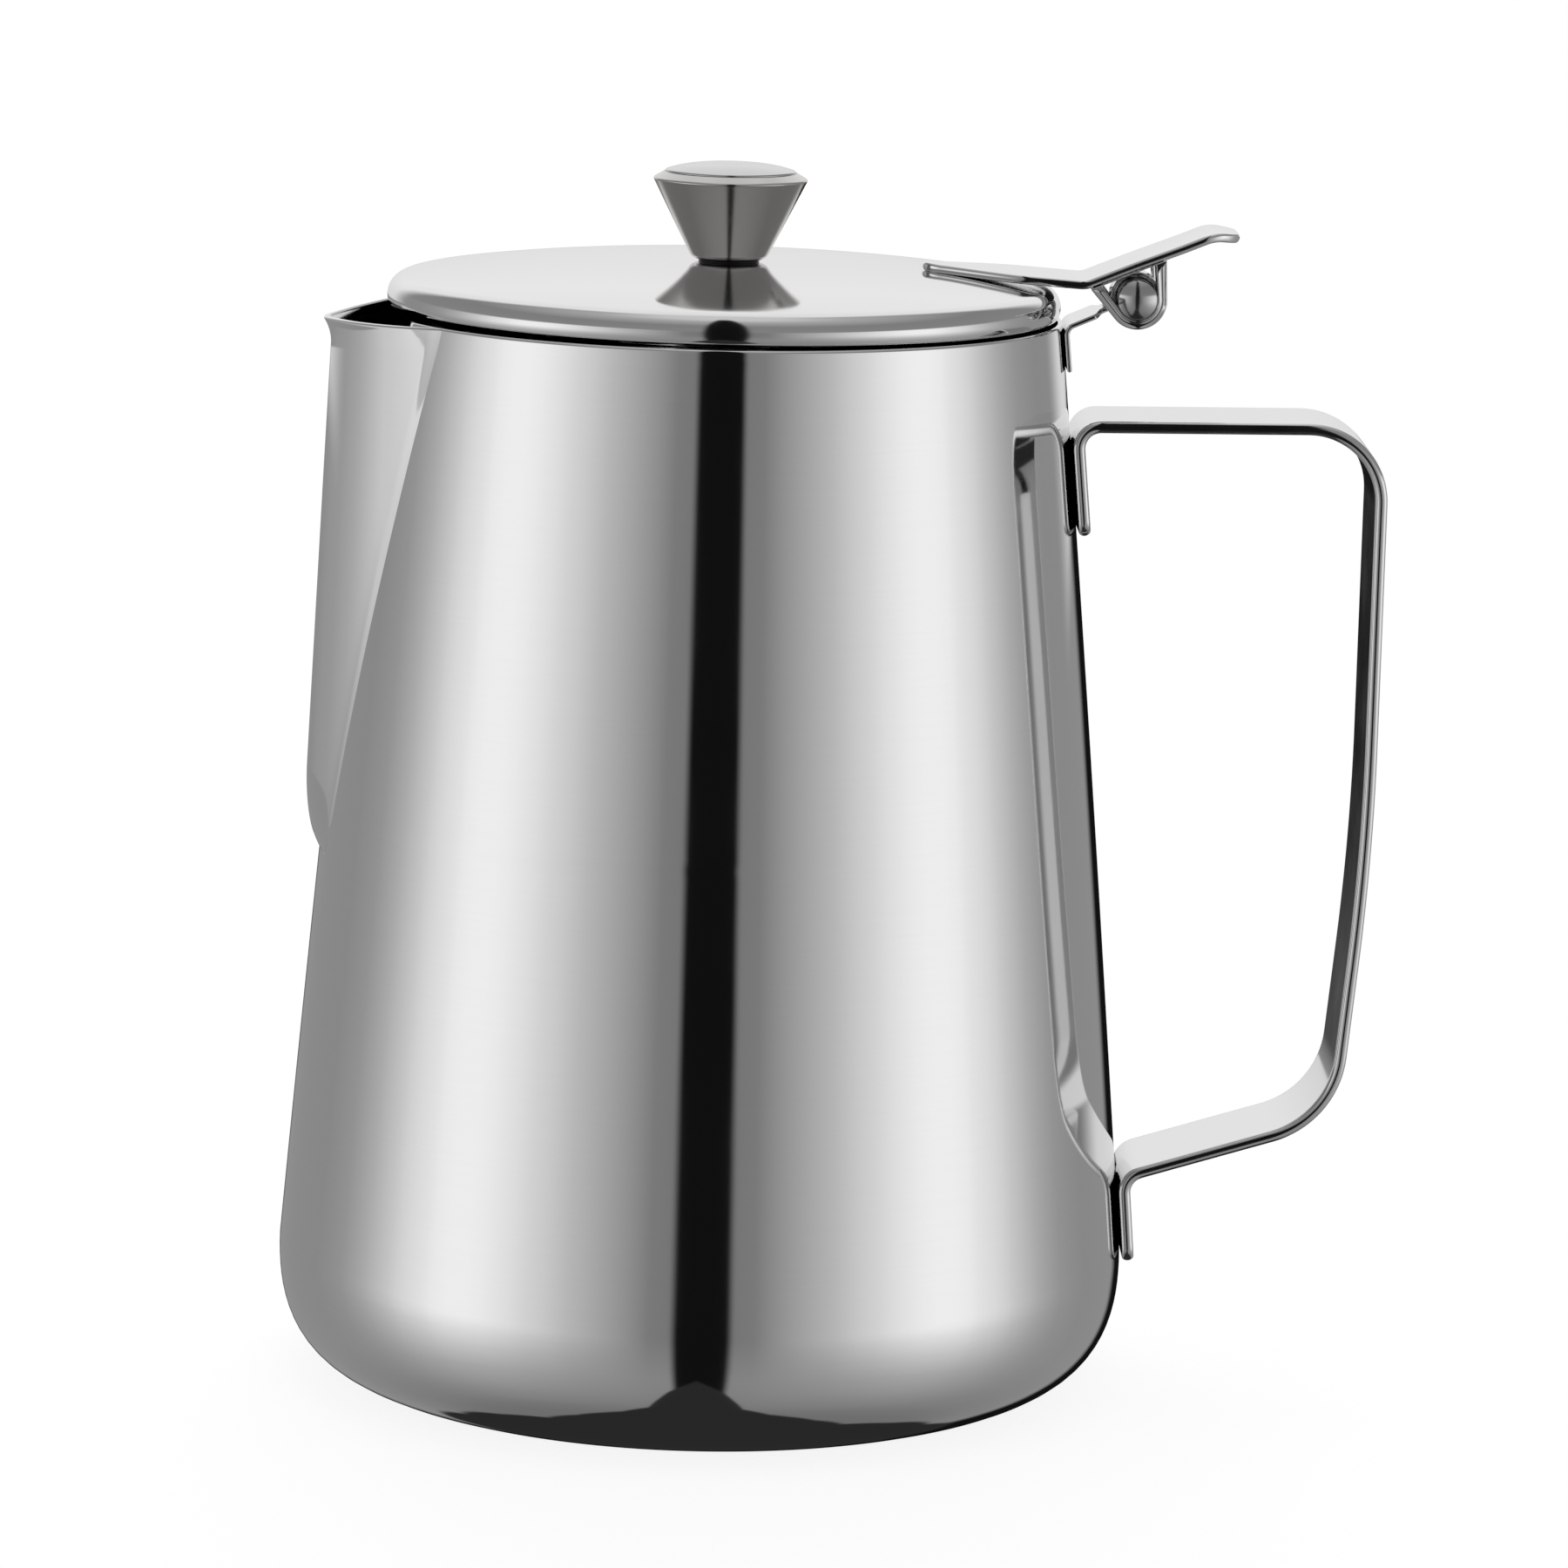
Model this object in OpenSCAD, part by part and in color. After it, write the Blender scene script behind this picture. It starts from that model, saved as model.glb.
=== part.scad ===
// Hot milk jug with a hinged lid: a drawn stainless steel pot with a welded spout and strap handle.
// Z is up, the origin is the middle of the base on the table, the spout points to -X and the handle to +X.

/* [Pot] */
// Height of the rim above the table
rim_h = 170; // [150:1:200]
// Outer radius of the pot at the rim
rim_r = 53.6; // [50:0.1:56]
// Largest outer radius of the pot, where the wall meets the rounded bottom corner
belly_r = 67.5; // [65:0.5:72]
// Height at which the pot is widest
belly_h = 20.5; // [16:0.5:24]
// Width of the rounded bottom corner, from the flat base out to the widest place
corner_w = 18.5; // [16:0.5:24]
// Thickness of the pot's sheet
sheet_t = 0.8; // [0.6:0.1:1.2]
// How far the wall swells outward at half height
wall_bow = 0.3; // [0:0.1:1]

/* [Spout] */
// How far the nose of the spout stands out from the rim, just under its lip
nose_top_out = 7.5; // [6:0.1:9]
// How far the nose of the spout stands out from the wall, just above its foot
nose_low_out = 3.4; // [2.6:0.1:5]
// Height at which the spout grows out of the wall
spout_foot_h = 84.5; // [75:0.5:95]
// Height of the rounding at the spout's foot
spout_round_h = 12.5; // [8:0.5:18]
// Radius of the spout's nose seen from above
nose_r = 6; // [5:0.5:9]
// Radius of the spout's bowed flanks seen from above
flank_r = 75; // [60:5:120]
// Half angle that the spout spans on the pot's wall at the rim
crease_top_a = 37; // [30:1:40]
// Half angle that the spout spans on the pot's wall at its foot
crease_low_a = 12; // [8:1:16]
// How far the pouring lip flares out
lip_flare = 1.6; // [0.5:0.1:2.5]
// Height of the flare under the lip
lip_flare_h = 5; // [3:0.5:7]
// How much lower than the rim the tip of the lip is
lip_drop = 1.9; // [0:0.1:2.5]
// Half width of the opening behind the spout at the rim
throat_top_w = 25; // [20:0.5:27]
// Half width of the opening behind the spout at its foot
throat_low_w = 6; // [4:0.5:8]
// Height of the opening's lower edge above the spout's foot
throat_rise = 9; // [6:0.5:14]

/* [Handle] */
// Width of the handle's strap
strap_w = 21; // [16:0.5:24]
// Thickness of the handle's strap
strap_t = 1.9; // [1.5:0.1:2.5]
// How far the top face of the handle's upper bar lies below the rim
handle_drop = 14.7; // [14:0.1:24]
// How much higher the upper bar is at the grip than at the wall
bar_rise = 0.6; // [0:0.1:2]
// How far the outer face of the grip stands out from the pot's widest place
grip_out = 37.4; // [32:0.2:44]
// How far above its lower corner the grip starts to lean inward
grip_bend_rise = 42.6; // [36:0.2:60]
// Radius of the grip's gentle bend
grip_bow_r = 400; // [200:50:500]
// How far the grip leans in from its bend to its lower corner
grip_lean = 3.8; // [1:0.1:8]
// Height of the lower corner of the grip
grip_low_h = 44.6; // [42:0.2:52]
// Height at which the lower bar meets the wall
lower_root_h = 34.4; // [31:0.2:37]
// Outer radius of the upper corner
upper_corner_r = 12.5; // [9:0.5:16]
// Outer radius of the lower corner
lower_corner_r = 16; // [12:0.5:20]
// Length of the upper foot that is welded to the wall
upper_foot = 18.3; // [12:0.5:20]
// Length of the lower foot that is welded to the wall
lower_foot = 14; // [10:0.5:14]

/* [Lid] */
// How far the lid's rolled edge reaches past the rim
lid_over = -0.8; // [-1:0.1:0.2]
// How far the lid is set over towards its hinge
lid_set = 0.5; // [0:0.1:0.7]
// Radius of the roll of the lid's edge
bead_r = 3.2; // [2.8:0.1:3.3]
// Height of the roll's middle above the rim
bead_mid_h = 2.15; // [2.1:0.05:2.8]
// How far the lid swells up from its edge to its middle
dome_rise = 2.8; // [2:0.1:4]
// Power of the lid's dome, which a higher one leaves flatter in the middle
dome_power = 2.45; // [2:0.05:3]
// How far the plug ring reaches down into the mouth
ring_drop = 6; // [4:0.5:9]

/* [Knob] */
// How far the knob stands off the lid's middle, towards the hinge
knob_set = 0.6; // [0:0.1:0.8]
// Radius of the dark ring under the knob
neck_r = 4.8; // [4.6:0.05:5.4]
// Height of the dark ring
neck_h = 0.3; // [0.2:0.1:1.5]
// Radius of the knob's edge, where the cone is widest
cone_r = 12.05; // [11.5:0.05:13]
// Height of the knob's cone
cone_h = 12.5; // [10:0.1:14]
// Radius of the cap
cap_r = 10.2; // [9:0.1:10.6]
// Height of the slope from the cone's edge up to the cap
crown_h = 1.2; // [0.8:0.1:2]
// Height of the cap above the slope
cap_rise = 1.4; // [1:0.1:3]
// Radius of the knob's screw
screw_r = 2; // [1.6:0.1:2.5]

/* [Hinge] */
// Distance from the rim to the middle of the hinge pin
pin_out = 11.3; // [11.2:0.1:13]
// Height of the hinge pin above the rim
pin_rise = 4.2; // [4:0.1:5]
// Radius of the hinge pin
pin_r = 3.1; // [2.6:0.1:3.3]
// Length of the hinge pin, without its domed ends
pin_len = 17; // [15.5:0.5:18]
// Width of the bracket's knuckle between the two ears
knuckle_w = 6.4; // [5:0.1:7]
// Thickness of the ears around the pin
ear_t = 1.45; // [1.2:0.05:1.6]
// Running clearance between the pin and the ears
run_gap = 0.06; // [0.03:0.01:0.1]
// Thickness of the bracket's sheet
bracket_t = 0.8; // [0.6:0.05:0.9]
// Width of the bracket where it is welded to the wall
bracket_w = 14; // [10:0.5:16]
// Length of the bracket's foot on the wall
bracket_foot = 7.5; // [5:0.5:9]

/* [Thumb lever] */
// Width of the thumb lever
lever_w = 16.6; // [14:0.2:18]
// Thickness of the lever's strip
lever_t = 1.4; // [1.2:0.1:1.6]
// Angle at which the lever rises
lever_angle = 22.5; // [18:0.5:24]
// Distance from the pin inward to the bend of the lever
lever_bend_in = 7.9; // [7.7:0.1:8.3]
// Distance from the pin outward to the tip of the lever
lever_reach = 16.2; // [14:0.1:18.5]
// Distance from the pin inward to the end of the tongue on the lid
tongue_reach = 33.5; // [30:0.1:36]
// Half width of the tongue's inner end
tongue_end_w = 2.6; // [2:0.1:4]
// Depth of the two weld dimples in the tongue
dimple_d = 0.4; // [0.2:0.1:0.6]

/* [Hidden] */
$fn = 96;

// Every cut runs past the face that it opens by this much
cut = 1;
// Gap between two faces on bodies that move past each other
free_gap = 0.3;
// Gap of a screw in its hole and of a ring inside the lid's roll
hole_gap = 0.1;
// Gap between two parts of one body that are welded to each other
seat_gap = 0.05;
// Radius of the flat that the pot stands on
base_r = belly_r - corner_w;
// Power of the curve of the pot's bottom corner, where 2 is a quarter circle
corner_power = 2.55;
corner_steps = 12;
wall_steps = 8;

// Radius of the outer wall at a height above the widest place
function wall_t(z) = (rim_h - z) / (rim_h - belly_h);
function wall_r(z) = rim_r + (belly_r - rim_r) * wall_t(z) + wall_bow * 4 * wall_t(z) * (1 - wall_t(z));

// Half outline of the pot's face from the base up to the rim, at a distance inside the outer face
function corner_pt(a, inset) = [
    base_r + (belly_r - base_r - inset) * pow(sin(a), 2 / corner_power),
    belly_h - (belly_h - inset) * pow(cos(a), 2 / corner_power)];
function wall_pts(inset) = [for (i = [0 : wall_steps])
    let (z = belly_h + (rim_h - belly_h) * i / wall_steps) [wall_r(z) - inset, z]];
function corner_pts(inset) = [for (i = [0 : corner_steps - 1]) corner_pt(90 * i / corner_steps, inset)];
function pot_line(inset) = concat([[0, inset]], corner_pts(inset), wall_pts(inset));

// Points of a circular arc of radius r that rounds the corner p between the points a and b
arc_steps = 10;
function unit(v) = v / norm(v);
function turn(u, w) = acos(max(-1, min(1, u * w)));
function arc_mid(p, u, w, r) = p + unit(u + w) * r / sin(turn(u, w) / 2);
function swing(a, b) = let (d = b - a) d > 180 ? d - 360 : d < -180 ? d + 360 : d;
function arc_between(c, s, e, r) = let (a = atan2(s.y - c.y, s.x - c.x), b = atan2(e.y - c.y, e.x - c.x))
    [for (i = [0 : arc_steps]) let (k = a + swing(a, b) * i / arc_steps) c + r * [cos(k), sin(k)]];
function rounded(p, a, b, r) = let (u = unit(a - p), w = unit(b - p), d = r / tan(turn(u, w) / 2))
    arc_between(arc_mid(p, u, w, r), p + u * d, p + w * d, r);

// A line of points with every inner corner rounded to its own radius
function soft_line(pts, radii) = [for (i = [0 : len(pts) - 1])
    each (i == 0 || i == len(pts) - 1 ? [pts[i]] : rounded(pts[i], pts[i - 1], pts[i + 1], radii[i]))];

// Closed outline of a strip of thickness t whose middle follows a line of points
function heading(pts, i) = unit(pts[min(i + 1, len(pts) - 1)] - pts[max(i - 1, 0)]);
function offset_line(pts, d) = [for (i = [0 : len(pts) - 1]) let (h = heading(pts, i)) pts[i] + d * [-h.y, h.x]];
function reversed(v) = [for (i = [len(v) - 1 : -1 : 0]) v[i]];
function strip(pts, t) = concat(offset_line(pts, t / 2), reversed(offset_line(pts, -t / 2)));

// Stands an outline drawn in x and height upright and gives it the width w, centred at y
module upright(w, y = 0) {
    translate([0, y + w / 2, 0])
        rotate([90, 0, 0])
            linear_extrude(w)
                children();
}

// Round solid whose outline is drawn in radius and height
module turned() {
    rotate_extrude()
        children();
}

// Pot: deep drawn sheet with the opening behind the spout
throat_low_h = spout_foot_h + throat_rise;
throat_knee_h = throat_low_h + throat_low_w;
throat_knee_w = 2 * throat_low_w;

module throat_outline() {
    polygon([[-throat_low_w, throat_low_h], [throat_low_w, throat_low_h], [throat_knee_w, throat_knee_h],
        [throat_top_w, rim_h + cut], [-throat_top_w, rim_h + cut], [-throat_knee_w, throat_knee_h]]);
}

module body() {
    color("silver")
        difference() {
            turned()
                polygon(concat(pot_line(0), reversed(pot_line(sheet_t))));
            translate([-rim_r / 2, 0, 0])
                rotate([90, 0, -90])
                    linear_extrude(belly_r)
                        throat_outline();
        }
}

// Spout: a sheet whose level sections leave the pot's wall at a crease, bow outward and close on a round nose
spout_rows = 22;
nose_cols = 6;
side_cols = 7;
// Least distance of the spout's outer face and of its inner face from the wall that it is welded to
nose_min = 0.15;
weld_gap = 0.05;

nose_low_h = spout_foot_h + spout_round_h;
nose_top_x = rim_r + nose_top_out;
nose_low_x = wall_r(nose_low_h) + nose_low_out;
function nose_line(z) = nose_low_x + (nose_top_x - nose_low_x) * (z - nose_low_h) / (rim_h - lip_flare_h - nose_low_h);
function foot_ease(z) = let (s = min(1, (z - spout_foot_h) / spout_round_h)) sqrt(max(0, 1 - (1 - s) * (1 - s)));
function flare(z) = let (s = max(0, (z - rim_h + lip_flare_h) / lip_flare_h)) lip_flare * s * s;
function nose_x(z) = wall_r(z) + max(nose_min, (nose_line(z) - wall_r(z)) * foot_ease(z)) + flare(z);

// Level section, worked out with the nose at +x: the flank is an arc of radius flank_r from the crease on the wall
// to the nose circle, which it touches from outside
function nose_mid(z) = [nose_x(z) - nose_r, 0];
function crease_a(z) = crease_low_a + (crease_top_a - crease_low_a) * (z - spout_foot_h) / (rim_h - spout_foot_h);
function crease_pt(z) = wall_r(z) * [cos(crease_a(z)), sin(crease_a(z))];
function flank_mid(z) = let (m = nose_mid(z), d = crease_pt(z) - m, e = unit(d), reach = flank_r - nose_r,
    along = (reach * reach - flank_r * flank_r + d * d) / (2 * norm(d)))
    m + along * e + sqrt(reach * reach - along * along) * [-e.y, e.x];
// Angle, seen from the flank's middle, at which its face at radius r meets the wall
function meet_a(z, r) = let (q = flank_mid(z), w = wall_r(z))
    atan2(q.y, q.x) + acos((w * w - q * q - r * r) / (2 * r * norm(q)));
function off_wall(p, z, gap) = p * max(1, (wall_r(z) + gap) / norm(p));
function half_section(z, inset) = let (q = flank_mid(z), m = nose_mid(z), r = flank_r - inset,
    start = meet_a(z, r), end = atan2(m.y - q.y, m.x - q.x))
    concat([for (i = [0 : side_cols - 1]) let (k = start + (end - start) * i / side_cols) q + r * [cos(k), sin(k)]],
        [for (i = [0 : nose_cols / 2]) let (k = end * (1 - 2 * i / nose_cols)) m + (nose_r - inset) * [cos(k), sin(k)]]);
function section(z, inset) = let (gap = inset > 0 ? weld_gap : nose_min,
    half = [for (p = half_section(z, inset)) off_wall(p, z, gap)], last = len(half) - 1)
    concat([for (p = half) [-p.x, -p.y]], [for (i = [last - 1 : -1 : 0]) [-half[i].x, half[i].y]]);

// The top rows sink towards the tip of the lip, outward of this distance from the pot's axis
sink_from_x = 0.8 * rim_r;
sink_power = 6;
function tip_share(p) = max(0, (-p.x - sink_from_x) / (nose_x(rim_h) - sink_from_x));
function sink(p, k) = lip_drop * tip_share(p) * pow(k, sink_power);
function spout_row(k, inner) = let (z = spout_foot_h + (rim_h - spout_foot_h) * k)
    [for (p = section(z, inner ? sheet_t : 0)) [p.x, p.y, z - sink(p, k)]];
row_shares = [for (i = [0 : spout_rows]) let (s = i / spout_rows) s < 0.4 ? s * s / 0.4 : s];

spout_cols = 2 * side_cols + nose_cols + 1;
spout_points = [for (inner = [false, true]) for (k = row_shares) each spout_row(k, inner)];
function at(layer, i, j) = (layer * (spout_rows + 1) + i) * spout_cols + j;
function quad(a, b, c, d) = [[a, b, c], [a, c, d]];
spout_faces = concat(
    [for (i = [0 : spout_rows - 1]) for (j = [0 : spout_cols - 2])
        each quad(at(0, i, j), at(0, i + 1, j), at(0, i + 1, j + 1), at(0, i, j + 1))],
    [for (i = [0 : spout_rows - 1]) for (j = [0 : spout_cols - 2])
        each quad(at(1, i, j), at(1, i, j + 1), at(1, i + 1, j + 1), at(1, i + 1, j))],
    [for (i = [0 : spout_rows - 1]) each quad(at(0, i, 0), at(1, i, 0), at(1, i + 1, 0), at(0, i + 1, 0))],
    [for (i = [0 : spout_rows - 1]) let (j = spout_cols - 1)
        each quad(at(0, i, j), at(0, i + 1, j), at(1, i + 1, j), at(1, i, j))],
    [for (j = [0 : spout_cols - 2]) each quad(at(0, 0, j), at(0, 0, j + 1), at(1, 0, j + 1), at(1, 0, j))],
    [for (j = [0 : spout_cols - 2]) let (i = spout_rows)
        each quad(at(0, i, j), at(1, i, j), at(1, i, j + 1), at(0, i, j + 1))]);

module spout() {
    color("lightgray")
        polyhedron(spout_points, spout_faces, convexity = 6);
}

// Handle: one strap with both ends turned down and welded flat on the wall
handle_top_h = rim_h - handle_drop;
grip_x = belly_r + grip_out;
grip_low_x = grip_x - grip_lean;
grip_bend_h = grip_low_h + grip_bend_rise;
root_bend_r = strap_t * 1.8;
strap_half = strap_t / 2;
upper_mid_h = handle_top_h - strap_half;
upper_end_h = handle_top_h - upper_foot;
lower_end_h = lower_root_h - lower_foot;
grip_mid_x = grip_x - strap_half;
handle_line = soft_line([
    [wall_r(upper_end_h) + strap_half, upper_end_h],
    [wall_r(upper_mid_h) + strap_half, upper_mid_h],
    [grip_mid_x, upper_mid_h + bar_rise],
    [grip_mid_x, grip_bend_h],
    [grip_low_x - strap_half, grip_low_h],
    [wall_r(lower_root_h) + strap_half, lower_root_h],
    [wall_r(lower_end_h) + strap_half, lower_end_h]],
    [0, root_bend_r, upper_corner_r - strap_half, grip_bow_r, lower_corner_r - strap_half, root_bend_r, 0]);

module handle() {
    color("gainsboro")
        upright(strap_w)
            polygon(strip(handle_line, strap_t));
}

// Hinge: a bracket welded to the wall holds the pin, and two ears under the lever turn on it
pin_x = rim_r + pin_out;
pin_h = rim_h + pin_rise;
knuckle_r = pin_r + bracket_t;
arm_half = bracket_t / 2;
arm_join_r = pin_r + arm_half;
arm_root_h = rim_h - bracket_t;
arm_line = [
    [wall_r(rim_h - bracket_foot) + arm_half, rim_h - bracket_foot],
    [wall_r(arm_root_h) + arm_half, arm_root_h],
    [pin_x - arm_join_r, pin_h],
    [pin_x - arm_join_r, pin_h + 2 * bracket_t]];
arm_bend_r = 2 * bracket_t;
// The arm is as wide as its foot up to this distance from the pin, where it narrows to the knuckle
ear_r = pin_r + run_gap + ear_t;
arm_wide_x = pin_x - ear_r - 4 * free_gap;

module bracket_plan() {
    translate([rim_r - bracket_w, -bracket_w / 2])
        square([arm_wide_x - rim_r + bracket_w, bracket_w]);
    translate([rim_r, -knuckle_w / 2])
        square([pin_x - rim_r, knuckle_w]);
}

module hinge_bracket() {
    color("darkgray")
        union() {
            difference() {
                intersection() {
                    upright(bracket_w)
                        polygon(strip(soft_line(arm_line, [0, arm_bend_r, arm_bend_r, 0]), bracket_t));
                    linear_extrude(rim_h + pin_rise + bracket_w)
                        bracket_plan();
                }
                translate([pin_x, bracket_w, pin_h])
                    rotate([90, 0, 0])
                        cylinder(r = pin_r + bracket_t / 2, h = 2 * bracket_w);
            }
            translate([pin_x, knuckle_w / 2, pin_h])
                rotate([90, 0, 0])
                    difference() {
                        cylinder(r = knuckle_r, h = knuckle_w);
                        translate([0, 0, -cut])
                            cylinder(r = pin_r, h = knuckle_w + 2 * cut);
                    }
        }
}

// Pin with domed ends
pin_end_h = pin_r * 0.35;
pin_end_r = (pin_r * pin_r + pin_end_h * pin_end_h) / (2 * pin_end_h);
pin_end_steps = 6;
pin_end_a = asin(pin_r / pin_end_r);
function pin_end_pt(i) = let (a = pin_end_a * (1 - i / pin_end_steps))
    [pin_end_r * sin(a), pin_len / 2 + pin_end_h - pin_end_r * (1 - cos(a))];

module hinge_pin() {
    color("dimgray")
        translate([pin_x, 0, pin_h])
            rotate([90, 0, 0])
                turned()
                    polygon(concat([for (i = [pin_end_steps : -1 : 0]) [pin_end_pt(i).x, -pin_end_pt(i).y]],
                        [for (i = [0 : pin_end_steps]) pin_end_pt(i)]));
}

// The lid's face is flat under the knob, falls as a power of the radius, and passes into the roll
bead_mid_r = rim_r + lid_over - bead_r;
edge_a = atan(dome_power * dome_rise / (bead_mid_r - neck_r));
edge_r = bead_mid_r + bead_r * sin(edge_a);
lid_top_h = rim_h + bead_mid_h + bead_r * cos(edge_a) + dome_rise;
function lid_h(r) = lid_top_h - dome_rise * pow(max(0, r - neck_r) / (edge_r - neck_r), dome_power);

// The lever's underside, from which the ears hang, and which passes over the knuckle with a gap
lever_dir = [cos(lever_angle), sin(lever_angle)];
lever_up = [-lever_dir.y, lever_dir.x];
lever_bend_x = pin_x - lever_bend_in;
lever_over = knuckle_r + free_gap + hole_gap;
lever_under = [lever_bend_x, pin_h + (lever_over - lever_bend_in * lever_dir.y) / lever_dir.x];
pin_mid = [pin_x, pin_h];
// Foot of the square from the pin's middle to the faces of the ears that the lever is welded to
pin_foot = pin_mid + (lever_over - seat_gap) * lever_up;
ear_gap = knuckle_w / 2 + free_gap;
ear_w = (pin_len - 2 * ear_gap) / 2;
// Distances from that foot to the two sides of an ear, where it meets the lever
ear_in = 1.35 * ear_r;
ear_out = 1.4 * ear_r;

// Point where a line from p touches the circle of radius r about c, on its left for side 1 and on its right for -1
function touch(p, c, r, side) = let (u = unit(c - p), k = side * asin(r / norm(c - p)))
    p + sqrt((c - p) * (c - p) - r * r) * [u.x * cos(k) - u.y * sin(k), u.x * sin(k) + u.y * cos(k)];
function loop_pts(r, inset, rise) = let (a = pin_foot - (ear_in - inset) * lever_dir,
    b = pin_foot + (ear_out - inset) * lever_dir)
    [a + rise * lever_up, a, touch(a, pin_mid, r, -1), pin_mid, touch(b, pin_mid, r, 1), b, b + rise * lever_up];

module ear_outline() {
    difference() {
        union() {
            translate(pin_mid)
                circle(r = ear_r);
            polygon(loop_pts(ear_r, 0, 0));
        }
        translate(pin_mid)
            circle(r = pin_r + run_gap);
        polygon(loop_pts(pin_r + run_gap, 1.25 * ear_t, cut));
    }
}

module hinge_loop() {
    color("silver")
        for (side = [-1, 1])
            upright(ear_w, side * (ear_gap + ear_w / 2))
                ear_outline();
}

// Thumb lever: tongue on the lid, bend, rise and a tip that curls down
lever_tip_x = pin_x + lever_reach;
tongue_x = pin_x - tongue_reach;
lever_half = lever_t / 2;
tip_curl_l = 3 * lever_t;
tip_curl_fall = lever_t / 2;
// The tongue's underside runs straight from the lid's face to the bend
tongue_under = [tongue_x, lid_h(tongue_x - lid_set) - seat_gap];
tongue_dir = unit(lever_under - tongue_under);
tongue_up = [-tongue_dir.y, tongue_dir.x];
lever_curl = lever_under + lever_dir * (lever_tip_x - tip_curl_l - lever_bend_x) / lever_dir.x + lever_half * lever_up;
lever_bend_r = 3 * lever_t;
tip_bend_r = 4 * lever_t;
lever_line = soft_line([
    tongue_under + lever_half * tongue_up,
    lever_under + lever_half * (tongue_up + lever_up) / (1 + tongue_up * lever_up),
    lever_curl,
    lever_curl + [tip_curl_l, -tip_curl_fall]],
    [0, lever_bend_r, tip_bend_r, 0]);
tongue_wide_x = tongue_x + lever_w;
tip_side_r = lever_w * 0.36;
dimple_r = tongue_end_w * 0.55;
dimple_step = 3 * dimple_r;

module lever_plan() {
    hull() {
        translate([tongue_x + tongue_end_w, 0])
            circle(r = tongue_end_w);
        translate([tongue_wide_x, -lever_w / 2])
            square([tongue_end_w, lever_w]);
    }
    translate([tongue_wide_x, -lever_w / 2])
        square([lever_tip_x - tip_side_r - tongue_wide_x, lever_w]);
    hull()
        for (side = [-1, 1])
            translate([lever_tip_x - tip_side_r, side * (lever_w / 2 - tip_side_r)])
                circle(r = tip_side_r);
}

module thumb_lever() {
    color("whitesmoke")
        difference() {
            intersection() {
                upright(lever_w)
                    polygon(strip(lever_line, lever_t));
                linear_extrude(rim_h + lever_tip_x)
                    lever_plan();
            }
            for (i = [1, 2])
                translate([tongue_x, 0, tongue_under.y])
                    rotate([0, -atan(tongue_dir.y / tongue_dir.x), 0])
                        translate([dimple_step * i, 0, lever_t - dimple_d])
                            cylinder(r = dimple_r, h = lever_t);
        }
}

// Lid: one sheet, domed in the middle, with its edge rolled under
bead_mid = [bead_mid_r, rim_h + bead_mid_h];
lid_t = sheet_t;
lid_steps = 10;
bead_steps = 14;
bead_end_a = -105;
screw_hole_r = screw_r + hole_gap;
// The plug ring stands inside the roll's end, and the lid's faces have a corner over each of its sides
ring_out_r = bead_mid_r + bead_r * cos(bead_end_a) - hole_gap;
ring_in_r = ring_out_r - sheet_t;
lid_radii = concat([0], [for (i = [0 : lid_steps]) neck_r + (ring_in_r - neck_r) * i / lid_steps],
    [ring_out_r]);
function lid_pts(d) = [for (r = lid_radii) [r, lid_h(r) - d]];
function bead_pts(r) = [for (i = [0 : bead_steps])
    let (a = 90 - edge_a + (bead_end_a - 90 + edge_a) * i / bead_steps) bead_mid + r * [cos(a), sin(a)]];

// The round parts of the lid are set over with it
module on_lid() {
    translate([lid_set, 0, 0])
        children();
}

module lid_cover() {
    on_lid()
        color("gainsboro")
            difference() {
                turned()
                    polygon(concat(lid_pts(0), bead_pts(bead_r),
                        reversed(concat(lid_pts(lid_t), bead_pts(bead_r - lid_t)))));
                translate([knob_set, 0, lid_top_h - lid_t - cut])
                    cylinder(r = screw_hole_r, h = lid_t + 2 * cut);
            }
}

// Plug ring under the lid, which centres it in the mouth
module lid_ring() {
    on_lid()
        color("darkgray")
            turned()
                polygon([[ring_in_r, rim_h - ring_drop], [ring_out_r, rim_h - ring_drop],
                    [ring_out_r, lid_h(ring_out_r) - lid_t], [ring_in_r, lid_h(ring_in_r) - lid_t]]);
}

// Knob: dark ring, cone with a sloping crown, and cap, on one screw
cone_base_h = lid_top_h + neck_h;
crown_top = cone_h + crown_h;

module on_knob() {
    translate([lid_set + knob_set, 0, 0])
        children();
}

module neck_washer() {
    on_knob()
        color("black")
            translate([0, 0, lid_top_h])
                turned()
                    translate([screw_hole_r, 0])
                        square([neck_r - screw_hole_r, neck_h]);
}

// The cone's lower edge is rounded, its upper edge is softened, and its crown holds the cap in a recess
cone_low_r = neck_r;
cone_round_r = cone_low_r / 3;
cone_flank_a = 25;
cone_edge = 0.3;
recess_d = 1;
screw_reach = cone_h * 0.6;
cone_foot_pts = [for (i = [0 : 4]) let (a = -90 + (90 - cone_flank_a) * i / 4)
    [cone_low_r + cone_round_r * cos(a), cone_round_r * (1 + sin(a))]];

cone_pts = concat([[0, screw_reach], [screw_hole_r, screw_reach], [screw_hole_r, 0]], cone_foot_pts,
    [[cone_r - cone_edge / 2, cone_h - cone_edge], [cone_r, cone_h], [cone_r - cone_edge, cone_h + cone_edge],
    [cap_r + hole_gap, crown_top], [cap_r + hole_gap, crown_top - recess_d], [0, crown_top - recess_d]]);

module knob_cone() {
    on_knob()
        color("dimgray")
            translate([0, 0, cone_base_h])
                turned()
                    polygon(cone_pts);
}

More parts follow.
